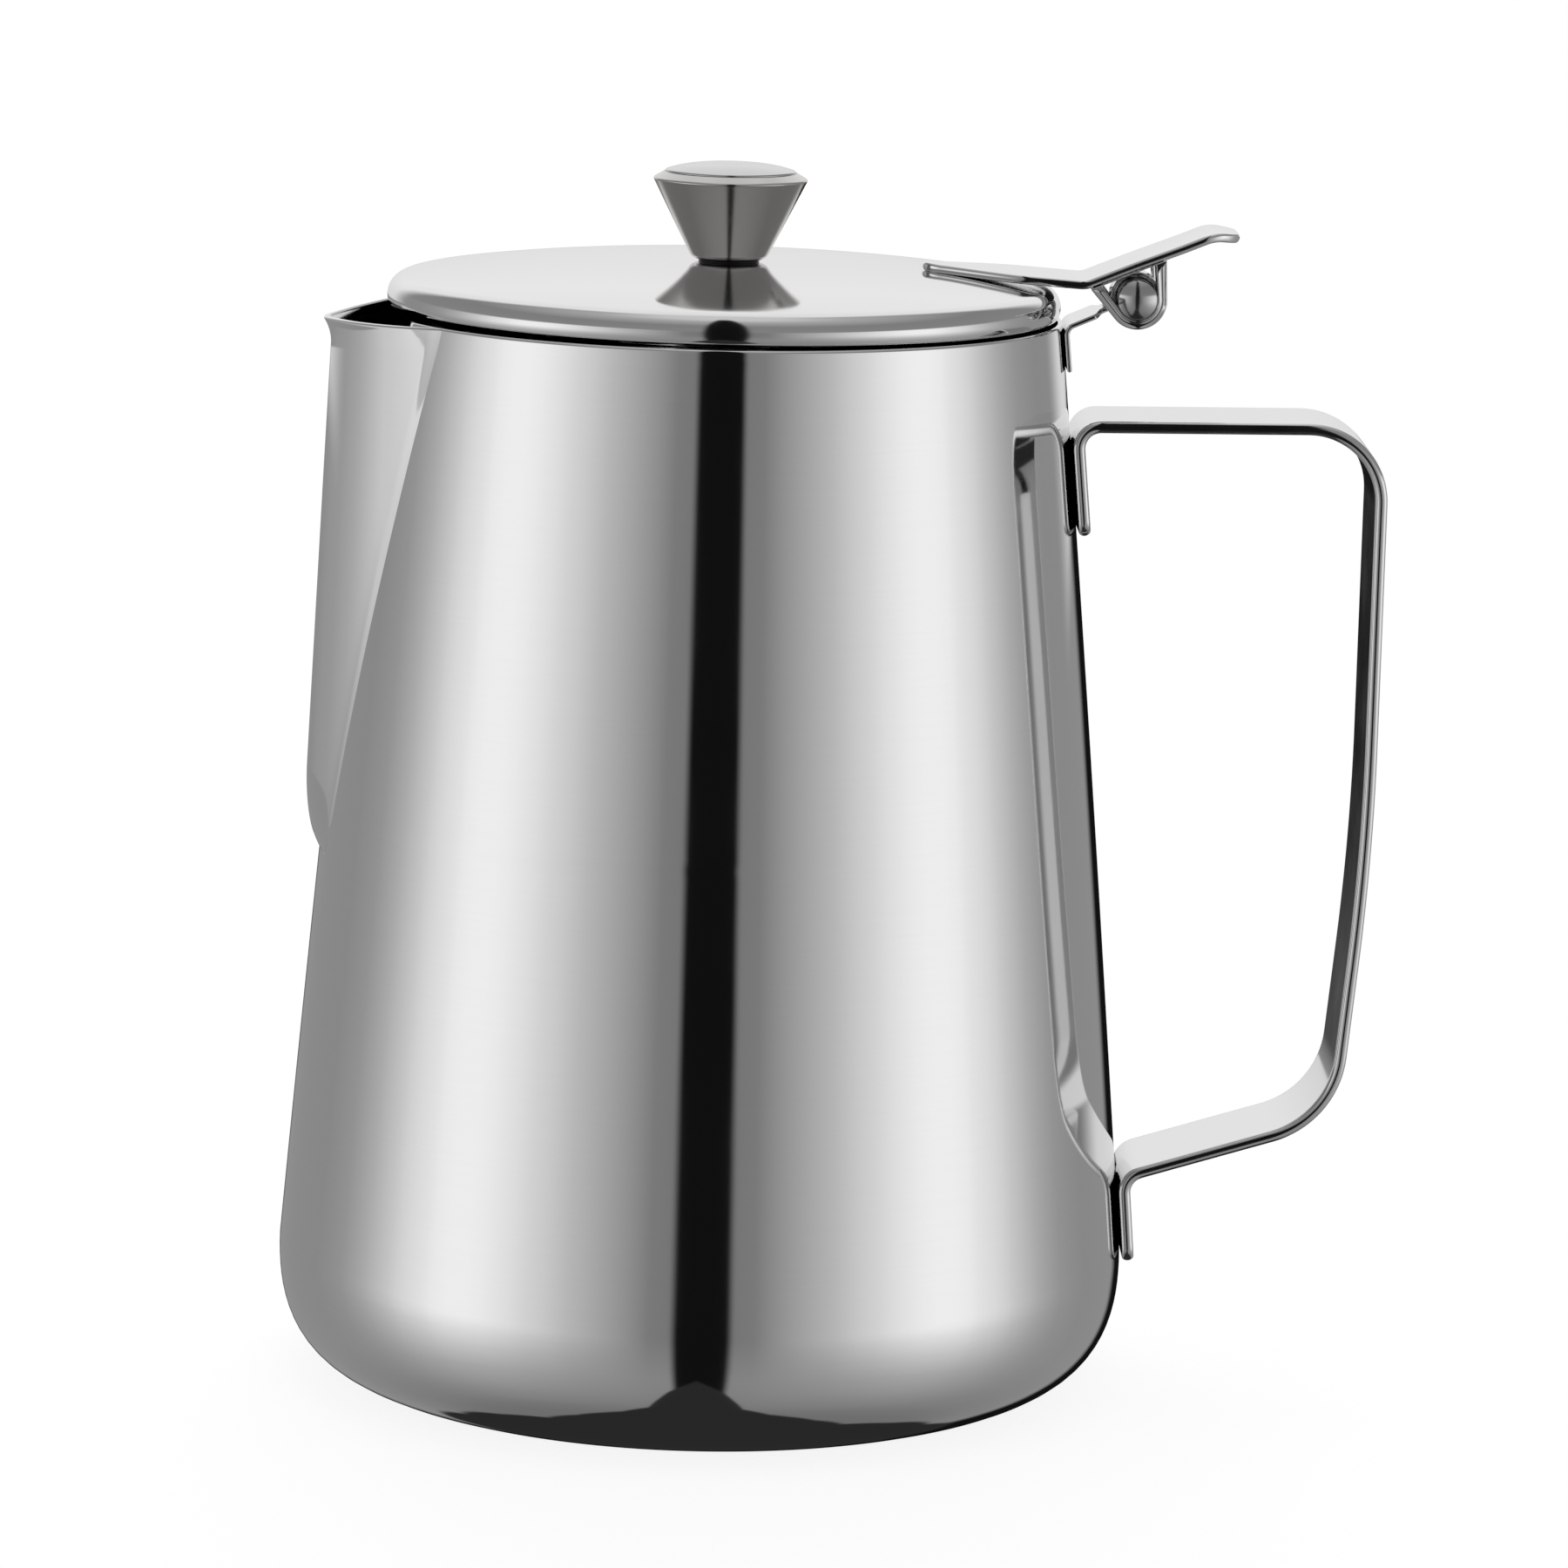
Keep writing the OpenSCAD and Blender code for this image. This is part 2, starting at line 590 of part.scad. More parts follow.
// Cap with a low dome, whose face falls as a power of the radius
cap_steps = 8;
cap_power = 3;
cap_side = recess_d + cap_rise * 0.15;
cap_pts = [for (i = [cap_steps : -1 : 0]) let (s = i / cap_steps)
    [cap_r * s, cap_side + (recess_d + cap_rise - cap_side) * (1 - pow(s, cap_power))]];

module knob_cap() {
    on_knob()
        color("lightgray")
            translate([0, 0, cone_base_h + crown_top - recess_d])
                turned()
                    polygon(concat([[0, 0], [cap_r, 0]], cap_pts));
}

// Screw from under the lid, with its washer
washer_r = 2.5 * screw_r;
washer_t = 0.4 * screw_r;
head_r = 1.8 * screw_r;
head_h = 1.2 * screw_r;
socket_r = 0.9 * screw_r;
socket_d = 0.5 * head_h;
washer_top_h = lid_top_h - lid_t;
screw_len = lid_t + washer_t + neck_h + screw_reach - hole_gap;

module knob_screw() {
    on_knob()
        color("darkslategray")
            difference() {
                union() {
                    translate([0, 0, washer_top_h - washer_t - head_h])
                        cylinder(r = head_r, h = head_h);
                    translate([0, 0, washer_top_h - washer_t])
                        cylinder(r = screw_r, h = screw_len);
                }
                translate([0, 0, washer_top_h - washer_t - head_h - cut])
                    cylinder(r = socket_r, h = socket_d + cut, $fn = 6);
            }
}

module screw_washer() {
    on_knob()
        color("gray")
            translate([0, 0, washer_top_h - washer_t])
                difference() {
                    cylinder(r = washer_r, h = washer_t);
                    translate([0, 0, -cut])
                        cylinder(r = screw_hole_r, h = washer_t + 2 * cut);
                }
}

body();
spout();
handle();
hinge_bracket();
hinge_pin();
hinge_loop();
thumb_lever();
lid_cover();
lid_ring();
neck_washer();
knob_cone();
knob_cap();
knob_screw();
screw_washer();
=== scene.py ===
"""Visual model of a polished steel hot milk jug with a hinged lid, dressed around its packed construction.

Lengths are in metres and in the jug's own frame: Z up, the spout towards -X, the handle and the hinge
towards +X.
"""
from __future__ import annotations

import logging
import math
from dataclasses import dataclass
from enum import Enum

import bmesh
import bpy
import numpy as np
from mathutils import Matrix, Vector


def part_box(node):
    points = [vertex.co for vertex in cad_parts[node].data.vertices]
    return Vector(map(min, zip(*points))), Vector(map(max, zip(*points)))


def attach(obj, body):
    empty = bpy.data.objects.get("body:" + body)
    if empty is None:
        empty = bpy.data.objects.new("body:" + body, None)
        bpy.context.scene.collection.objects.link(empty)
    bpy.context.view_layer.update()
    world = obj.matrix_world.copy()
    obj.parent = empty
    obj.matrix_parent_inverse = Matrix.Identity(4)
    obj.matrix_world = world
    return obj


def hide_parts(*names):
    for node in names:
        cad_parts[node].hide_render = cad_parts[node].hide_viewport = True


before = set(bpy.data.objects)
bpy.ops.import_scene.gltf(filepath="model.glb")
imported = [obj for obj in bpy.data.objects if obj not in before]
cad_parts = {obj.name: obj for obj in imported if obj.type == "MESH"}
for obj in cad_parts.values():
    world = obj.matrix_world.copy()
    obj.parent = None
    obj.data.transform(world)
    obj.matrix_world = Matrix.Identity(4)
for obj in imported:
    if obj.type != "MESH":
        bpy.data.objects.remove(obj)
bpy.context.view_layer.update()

MM = 0.001
TAU = 2 * math.pi
# Points that stand closer than this are one point, and an edge shorter than the second number is none
MERGE_GAP = 2e-7
LEAST_EDGE = 1e-8
Stops = tuple[tuple[float, float], ...]
Span = tuple[float, float]
log = logging.getLogger("milk_jug")


class Turn(Enum):
    """The axis that a turned piece is spun around."""

    UP = "z"
    ACROSS = "y"


def smooth_step(s: np.ndarray) -> np.ndarray:
    """Eases from 0 to 1 with level ends, by 3s^2 - 2s^3 on s clipped to 0..1.

    Args:
        s: Shares of the way.

    Returns:
        The eased shares.
    """
    s = np.clip(s, 0.0, 1.0)
    return s * s * (3 - 2 * s)


def arc(mid: np.ndarray, radius: float, start: float, end: float, count: int) -> np.ndarray:
    """Points of a circular arc: mid + radius (cos a, sin a), with a running evenly from start to end.

    Args:
        mid: Centre, as two numbers.
        radius: Radius.
        start: First angle in radians.
        end: Last angle in radians.
        count: Number of points.

    Returns:
        The points, one row each.
    """
    a = np.linspace(start, end, count)
    return np.asarray(mid) + radius * np.stack([np.cos(a), np.sin(a)], axis=-1)


def soft_line(corners: list[tuple[float, float]], radii: list[float], steps: int = 24) -> np.ndarray:
    """A line of points whose inner corners are rounded, each to its own radius.

    A corner's arc touches both of its legs at radius / tan(half of the angle between them) from the corner.

    Args:
        corners: The corners, ends included.
        radii: One radius per corner; those of the two ends aren't used.
        steps: Points on each arc.

    Returns:
        The points of the rounded line.
    """
    points = np.asarray(corners, dtype=float)
    parts = [points[:1]]
    for i in range(1, len(points) - 1):
        back = points[i - 1] - points[i]
        ahead = points[i + 1] - points[i]
        back, ahead = back / np.linalg.norm(back), ahead / np.linalg.norm(ahead)
        half = math.acos(float(np.clip(back @ ahead, -1, 1))) / 2
        middle = (back + ahead) / np.linalg.norm(back + ahead)
        mid = points[i] + middle * radii[i] / math.sin(half)
        first, last = (points[i] + leg * radii[i] / math.tan(half) - mid for leg in (back, ahead))
        a = math.atan2(first[1], first[0])
        swing = (math.atan2(last[1], last[0]) - a + math.pi) % TAU - math.pi
        parts.append(arc(mid, radii[i], a, a + swing, steps))
    parts.append(points[-1:])
    return np.concatenate(parts)


def lengths_along(line: np.ndarray) -> np.ndarray:
    """The distance along a line of points from its first point to each point."""
    return np.concatenate([[0.0], np.cumsum(np.linalg.norm(np.diff(line, axis=0), axis=1))])


def resample(line: np.ndarray, count: int, end_len: float, end_count: int) -> np.ndarray:
    """Spreads points evenly along a line, and more closely over a short stretch at both ends.

    Args:
        line: The line's points.
        count: Points on the middle stretch.
        end_len: Length of each end stretch.
        end_count: Points on each end stretch, which close up towards the end by a quarter sine wave.

    Returns:
        The new points.
    """
    run = lengths_along(line)
    near = end_len * (1 - np.cos(np.linspace(0, math.pi / 2, end_count, endpoint=False)))
    at = np.concatenate([near, np.linspace(end_len, run[-1] - end_len, count), run[-1] - near[::-1]])
    return np.stack([np.interp(at, run, line[:, k]) for k in range(line.shape[1])], axis=-1)


def side_normals(line: np.ndarray) -> np.ndarray:
    """Unit normals on the left of a flat line of points, square to the mean direction of its two legs."""
    ahead = np.gradient(line, axis=0)
    ahead /= np.linalg.norm(ahead, axis=1, keepdims=True)
    return np.stack([-ahead[:, 1], ahead[:, 0]], axis=-1)


def sheet_outline(middle: np.ndarray, thickness: float, cap_steps: int = 7) -> np.ndarray:
    """Closed outline of a sheet seen edge on, with round ends.

    Each side is the sheet's middle line moved along its normals by half of the thickness.

    Args:
        middle: Middle line of the sheet, as flat points.
        thickness: Thickness of the sheet.
        cap_steps: Points on each round end.

    Returns:
        The outline's points.
    """
    normals = side_normals(middle)
    left = middle + normals * thickness / 2
    right = middle - normals * thickness / 2
    a = math.atan2(normals[-1, 1], normals[-1, 0])
    far = arc(middle[-1], thickness / 2, a, a - math.pi, cap_steps)[1:-1]
    b = math.atan2(-normals[0, 1], -normals[0, 0])
    near = arc(middle[0], thickness / 2, b, b - math.pi, cap_steps)[1:-1]
    return np.concatenate([left, far, right[::-1], near])


def grid_faces(rows: int, cols: int, close_rows: bool, close_cols: bool, offset: int = 0) -> np.ndarray:
    """Corner numbers of the four-sided faces of a grid of points, numbered row by row.

    Args:
        rows: Number of rows.
        cols: Points in a row.
        close_rows: Whether the last row joins the first.
        close_cols: Whether a row's last point joins its first.
        offset: Number of the grid's first point.

    Returns:
        One row of four numbers for each face.
    """
    i = np.arange(rows if close_rows else rows - 1)[:, None]
    j = np.arange(cols if close_cols else cols - 1)[None, :]
    i2, j2 = (i + 1) % rows, (j + 1) % cols
    corners = np.broadcast_arrays(i * cols + j, i2 * cols + j, i2 * cols + j2, i * cols + j2)
    return np.stack([c.ravel() for c in corners], axis=-1) + offset


def make_piece(name: str, points: np.ndarray, faces: np.ndarray) -> bpy.types.Object:
    """Makes one smooth closed piece of a set of points and four-sided faces.

    Points that coincide, such as those of a pole or seam, are merged, faces without area go, and the rest
    face out, which a positive volume shows.

    Args:
        name: Name of the piece.
        points: The points, one row each.
        faces: Four point numbers per face.

    Returns:
        The new object.
    """
    mesh = bpy.data.meshes.new(name)
    mesh.from_pydata(points.reshape(-1, 3).tolist(), [], faces.tolist())
    work = bmesh.new()
    work.from_mesh(mesh)
    bmesh.ops.remove_doubles(work, verts=work.verts, dist=MERGE_GAP)
    bmesh.ops.dissolve_degenerate(work, edges=work.edges, dist=LEAST_EDGE)
    bmesh.ops.recalc_face_normals(work, faces=work.faces)
    if work.calc_volume(signed=True) < 0:
        bmesh.ops.reverse_faces(work, faces=work.faces)
    work.to_mesh(mesh)
    work.free()
    mesh.shade_smooth()
    piece = bpy.data.objects.new(name, mesh)
    bpy.context.scene.collection.objects.link(piece)
    return piece


def spin(name: str, outline: np.ndarray, segments: int, turn: Turn = Turn.UP,
         mid: tuple[float, float, float] = (0.0, 0.0, 0.0)) -> bpy.types.Object:
    """A turned piece: every point (r, h) of a closed outline becomes a ring of radius r at height h.

    Args:
        name: Name of the piece.
        outline: Closed outline as (radius, height) points.
        segments: Points on each ring.
        turn: The axis that it is spun around.
        mid: Place of the outline's origin.

    Returns:
        The new object.
    """
    a = np.linspace(0, TAU, segments, endpoint=False)[:, None]
    r, h = outline[None, :, 0], outline[None, :, 1]
    across, ahead, along = r * np.cos(a), r * np.sin(a), np.broadcast_to(h, (segments, outline.shape[0]))
    axes = [across, ahead, along] if turn is Turn.UP else [across, along, ahead]
    points = np.stack(axes, axis=-1) + np.asarray(mid)
    return make_piece(name, points, grid_faces(segments, outline.shape[0], True, True))


def strap(name: str, line: np.ndarray, half_width: np.ndarray, thickness: float, edge: float,
          camber: np.ndarray | None = None) -> bpy.types.Object:
    """A bent strip: a flat section with round edges, carried along a line in the upright plane y = 0.

    At each point of the line the section's half width is given, and over the last half thickness at both ends
    the strip thins out as a quarter circle. The section sags at its sides by camber times (share of width)^2.

    Args:
        name: Name of the piece.
        line: Middle line as (x, z) points.
        half_width: Half of the strip's width at each point.
        thickness: Thickness of the strip.
        edge: Radius of its rounded edges, half the thickness at most.
        camber: How far the sides sag at each point.

    Returns:
        The new object.
    """
    flat = np.array([0.97, 0.85, 0.5, 0.0, -0.5, -0.85, -0.97])
    turn = np.linspace(0, math.pi / 2, len(flat))
    quarter_b, quarter_a = np.cos(turn), np.sin(turn)
    side = np.ones(len(flat))
    # Shares of the half width, of the edge radius across and of the edge radius through, round the section
    share = np.concatenate([side, flat, -side, -side, -flat, side])
    none = np.zeros(len(flat))
    across = np.concatenate([quarter_b, none, -quarter_b[::-1], -quarter_b, none, quarter_b[::-1]])
    through = np.concatenate([quarter_a, side, quarter_a[::-1], -quarter_a, -side, -quarter_a[::-1]])
    level = np.sign(through)
    run = lengths_along(line)
    to_end = np.minimum(run, run[-1] - run)
    thin = np.sqrt(np.clip(1 - (1 - np.minimum(to_end / (thickness / 2), 1)) ** 2, 0, 1))[:, None]
    room = np.maximum(half_width - edge, 0)[:, None]
    b = share * room + across * np.minimum(edge, half_width[:, None])
    a = (level * (thickness / 2 - edge) + through * edge) * thin
    if camber is not None:
        a = a - camber[:, None] * (b / half_width.max()) ** 2
    normals = side_normals(line)
    points = np.stack([line[:, :1] + a * normals[:, :1], b, line[:, 1:] + a * normals[:, 1:]], axis=-1)
    return make_piece(name, points, grid_faces(len(line), len(share), False, True))


@dataclass(frozen=True)
class Finish:
    """A steel finish: its colour, its gloss and the marks that the polishing wheel left.

    Attributes:
        name: Name of the finish.
        tint: Colour of the metal.
        gloss: Roughness where it is clean.
        haze: How much rougher its smudges are.
        wave: Depth of its slow unevenness.
        wave_size: Width of that unevenness.
        grain: Depth of the fine polishing lines.
        grain_size: Distance between those lines.
        grain_stretch: How much longer the lines are than their distance, along x, y and z.
    """

    name: str
    tint: tuple[float, float, float]
    gloss: float
    haze: float
    wave: float
    wave_size: float
    grain: float
    grain_size: float
    grain_stretch: tuple[float, float, float]

    def material(self) -> bpy.types.Material:
        """Builds the finish as a material.

        Noise on the object's own coordinates gives the haze, the slow waves and, drawn out along the
        polishing direction, the fine lines.

        Returns:
            The material.
        """
        made = bpy.data.materials.get(self.name)
        if made:
            return made
        made = bpy.data.materials.new(self.name)
        made.use_nodes = True
        nodes, links = made.node_tree.nodes, made.node_tree.links
        shader = nodes["Principled BSDF"]
        shader.inputs["Metallic"].default_value = 1.0
        place = nodes.new("ShaderNodeTexCoord").outputs["Object"]

        def noise(size: float, detail: float, stretch: tuple[float, float, float]) -> bpy.types.NodeSocket:
            """Noise of a given size in metres, drawn out by a factor along each axis."""
            mapping = nodes.new("ShaderNodeMapping")
            mapping.inputs["Scale"].default_value = [1 / (size * s) for s in stretch]
            links.new(place, mapping.inputs["Vector"])
            texture = nodes.new("ShaderNodeTexNoise")
            texture.inputs["Scale"].default_value = 1.0
            texture.inputs["Detail"].default_value = detail
            links.new(mapping.outputs["Vector"], texture.inputs["Vector"])
            return texture.outputs["Fac"]

        def ramp(value: bpy.types.NodeSocket, low: float, high: float) -> bpy.types.NodeSocket:
            """Maps noise from about 0.3..0.7 to a range of numbers."""
            node = nodes.new("ShaderNodeMapRange")
            node.inputs["From Min"].default_value = 0.3
            node.inputs["From Max"].default_value = 0.7
            node.inputs["To Min"].default_value = low
            node.inputs["To Max"].default_value = high
            links.new(value, node.inputs["Value"])
            return node.outputs["Result"]

        even = (1.0, 1.0, 1.0)
        smudge = noise(self.wave_size, 3.0, even)
        lines = noise(self.grain_size, 2.0, self.grain_stretch)
        links.new(ramp(smudge, self.gloss, self.gloss + self.haze), shader.inputs["Roughness"])
        mix = nodes.new("ShaderNodeMix")
        mix.data_type = "RGBA"
        mix.inputs["A"].default_value = (*(c * 0.99 for c in self.tint), 1)
        mix.inputs["B"].default_value = (*self.tint, 1)
        links.new(ramp(lines, 0.0, 1.0), mix.inputs["Factor"])
        links.new(mix.outputs["Result"], shader.inputs["Base Color"])
        relief = None
        for height, depth in ((noise(self.wave_size, 1.0, even), self.wave), (lines, self.grain)):
            bump = nodes.new("ShaderNodeBump")
            bump.inputs["Distance"].default_value = depth
            links.new(height, bump.inputs["Height"])
            if relief:
                links.new(relief, bump.inputs["Normal"])
            relief = bump.outputs["Normal"]
        links.new(relief, shader.inputs["Normal"])
        return made


POT_STEEL = Finish(
    name="mirror_pot_steel",
    tint=(0.80, 0.80, 0.80), gloss=0.035, haze=0.03, wave=0.02 * MM, wave_size=30 * MM,
    grain=0.00005 * MM, grain_size=0.5 * MM, grain_stretch=(30.0, 30.0, 1.0))
LID_STEEL = Finish(
    name="mirror_lid_steel",
    tint=(0.80, 0.80, 0.80), gloss=0.05, haze=0.04, wave=0.03 * MM, wave_size=25 * MM,
    grain=0.0006 * MM, grain_size=0.5 * MM, grain_stretch=(1.0, 20.0, 1.0))
STRAP_STEEL = Finish(
    name="bright_strap_steel",
    tint=(0.79, 0.79, 0.79), gloss=0.06, haze=0.05, wave=0.02 * MM, wave_size=12 * MM,
    grain=0.0008 * MM, grain_size=0.4 * MM, grain_stretch=(1.0, 1.0, 25.0))
LEVER_STEEL = Finish(
    name="bright_lever_steel",
    tint=(0.82, 0.82, 0.82), gloss=0.07, haze=0.05, wave=0.02 * MM, wave_size=8 * MM,
    grain=0.0008 * MM, grain_size=0.4 * MM, grain_stretch=(25.0, 1.0, 1.0))
KNOB_STEEL = Finish(
    name="turned_knob_steel",
    tint=(0.60, 0.585, 0.57), gloss=0.13, haze=0.05, wave=0.01 * MM, wave_size=6 * MM,
    grain=0.0015 * MM, grain_size=0.25 * MM, grain_stretch=(40.0, 40.0, 1.0))
CAP_STEEL = Finish(
    name="satin_cap_steel",
    tint=(0.64, 0.635, 0.63), gloss=0.16, haze=0.06, wave=0.01 * MM, wave_size=6 * MM,
    grain=0.001 * MM, grain_size=0.3 * MM, grain_stretch=(8.0, 8.0, 1.0))
PIN_STEEL = Finish(
    name="turned_pin_steel",
    tint=(0.62, 0.62, 0.63), gloss=0.12, haze=0.05, wave=0.01 * MM, wave_size=3 * MM,
    grain=0.001 * MM, grain_size=0.2 * MM, grain_stretch=(4.0, 1.0, 4.0))


def contact_shade_ring_material() -> bpy.types.Material:
    """Thin ring under the knob, coloured near black as painted contact shade where the knob meets the lid:
    slightly glossy, with a fine moulded grain.
    """
    made = bpy.data.materials.new("neck_ring_painted_contact_shade")
    made.use_nodes = True
    nodes, links = made.node_tree.nodes, made.node_tree.links
    shader = nodes["Principled BSDF"]
    # Near-black base colour: painted contact shade between the knob and the lid
    shader.inputs["Base Color"].default_value = (0.012, 0.012, 0.013, 1)
    shader.inputs["Roughness"].default_value = 0.35
    place = nodes.new("ShaderNodeTexCoord")
    texture = nodes.new("ShaderNodeTexNoise")
    texture.inputs["Scale"].default_value = 1 / (0.2 * MM)
    bump = nodes.new("ShaderNodeBump")
    bump.inputs["Distance"].default_value = 0.005 * MM
    links.new(place.outputs["Object"], texture.inputs["Vector"])
    links.new(texture.outputs["Fac"], bump.inputs["Height"])
    links.new(bump.outputs["Normal"], shader.inputs["Normal"])
    return made


def fill_ramp(ramp: bpy.types.ShaderNodeValToRGB, stops: Stops, low: float = 0.0, high: float = 1.0,
              scale: float = 1.0) -> None:
    """Sets a colour ramp to greys: a stop (place, number) lies at (place - low) / (high - low).

    Args:
        ramp: The ramp's node.
        stops: Places and numbers.
        low: Place of the ramp's left end.
        high: Place of its right end.
        scale: The number that white stands for.
    """
    elements = ramp.color_ramp.elements
    while len(elements) < len(stops):
        elements.new(0.5)
    for element, (place, number) in zip(elements, stops):
        element.position = (place - low) / (high - low)
        element.color = (number / scale, number / scale, number / scale, 1)


def dress(piece: bpy.types.Object, body: str, material: bpy.types.Material, slot: str,
          *stands_for: str) -> None:
    """Gives a piece its finish, its body and the construction nodes that it stands for.

    Args:
        piece: The piece.
        body: The body that it rides on.
        material: Its material.
        slot: Name of its material slot; not used.
        stands_for: Nodes that it replaces.
    """
    piece.data.materials.clear()
    piece.data.materials.append(material)
    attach(piece, body)
    if stands_for:
        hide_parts(*stands_for)
    log.info("%s: %d points", piece.name, len(piece.data.vertices))


@dataclass
class Pot:
    """The drawn pot: its outer wall, its rounded bottom corner and the opening behind the spout."""

    rim_h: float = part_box("body")[1][2]
    belly_r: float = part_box("body")[1][0]
    rim_r: float = 53.6 * MM
    belly_h: float = 20.5 * MM
    corner_w: float = 18.5 * MM
    corner_power: float = 2.55
    bow: float = 0.3 * MM
    sheet: float = 0.8 * MM
    throat_foot_h: float = 92.5 * MM
    throat_top_w: float = 25 * MM
    throat_power: float = 0.7
    segments: int = 288
    cap_steps: int = 8

    def wall_radius(self, z: np.ndarray) -> np.ndarray:
        """Outer radius at height z: straight from the widest place to the rim, plus 4 bow t (1 - t)."""
        t = (self.rim_h - z) / (self.rim_h - self.belly_h)
        return self.rim_r + (self.belly_r - self.rim_r) * t + self.bow * 4 * t * (1 - t)

    def middle_line(self) -> np.ndarray:
        """Middle of the sheet as (radius, height): flat base, superellipse quadrant, then the wall."""
        half = self.sheet / 2
        base_r = self.belly_r - self.corner_w
        base = np.linspace(0, 1, 12, endpoint=False)[:, None] * [base_r, 0.0] + [0.0, half]
        a = np.linspace(0, math.pi / 2, 64, endpoint=False)
        power = 2 / self.corner_power
        corner = np.stack([base_r + (self.corner_w - half) * np.sin(a) ** power,
                           self.belly_h - (self.belly_h - half) * np.cos(a) ** power], axis=-1)
        z = np.linspace(self.belly_h, self.rim_h - half, 90)
        wall = np.stack([self.wall_radius(z) - half, z], axis=-1)
        return resample(np.concatenate([base, corner, wall]), 150, 1.5 * MM, 6)

    def throat_angle(self, z: np.ndarray) -> np.ndarray:
        """Half angle of the opening at height z: its half width is a power of the height above its foot."""
        share = np.clip((z - self.throat_foot_h) / (self.rim_h - self.throat_foot_h), 0, 1)
        return np.arcsin(self.throat_top_w * share ** self.throat_power / self.rim_r)

    def build(self) -> bpy.types.Object:
        """Spins the sheet from one side of the opening round to the other, which meet below the opening.

        A point's angle from the spout's direction is (throat angle) + u (full turn - 2 throat angle), where u
        runs from 0 to 1.

        Returns:
            The pot.
        """
        outline = sheet_outline(self.middle_line(), self.sheet, self.cap_steps)
        gap = self.throat_angle(outline[:, 1])
        u = np.linspace(0, 1, self.segments + 1)[:, None]
        a = math.pi + gap + u * (TAU - 2 * gap)
        points = np.stack([outline[:, 0] * np.cos(a), outline[:, 0] * np.sin(a),
                           np.broadcast_to(outline[:, 1], a.shape)], axis=-1)
        count = len(outline)
        faces = [grid_faces(self.segments + 1, count, False, True)]
        # The cut edges join the outer face to the inner one where the opening is wider than nothing
        pair = np.arange((count - self.cap_steps) // 2)
        mate = count - self.cap_steps + 1 - pair
        last = self.segments * count
        for start in (0, last):
            quads = np.stack([pair, pair + 1, mate - 1, mate], axis=-1)
            faces.append(quads[(gap[quads] > 0).any(axis=1)] + start)
        return make_piece("pot", points, np.concatenate(faces))


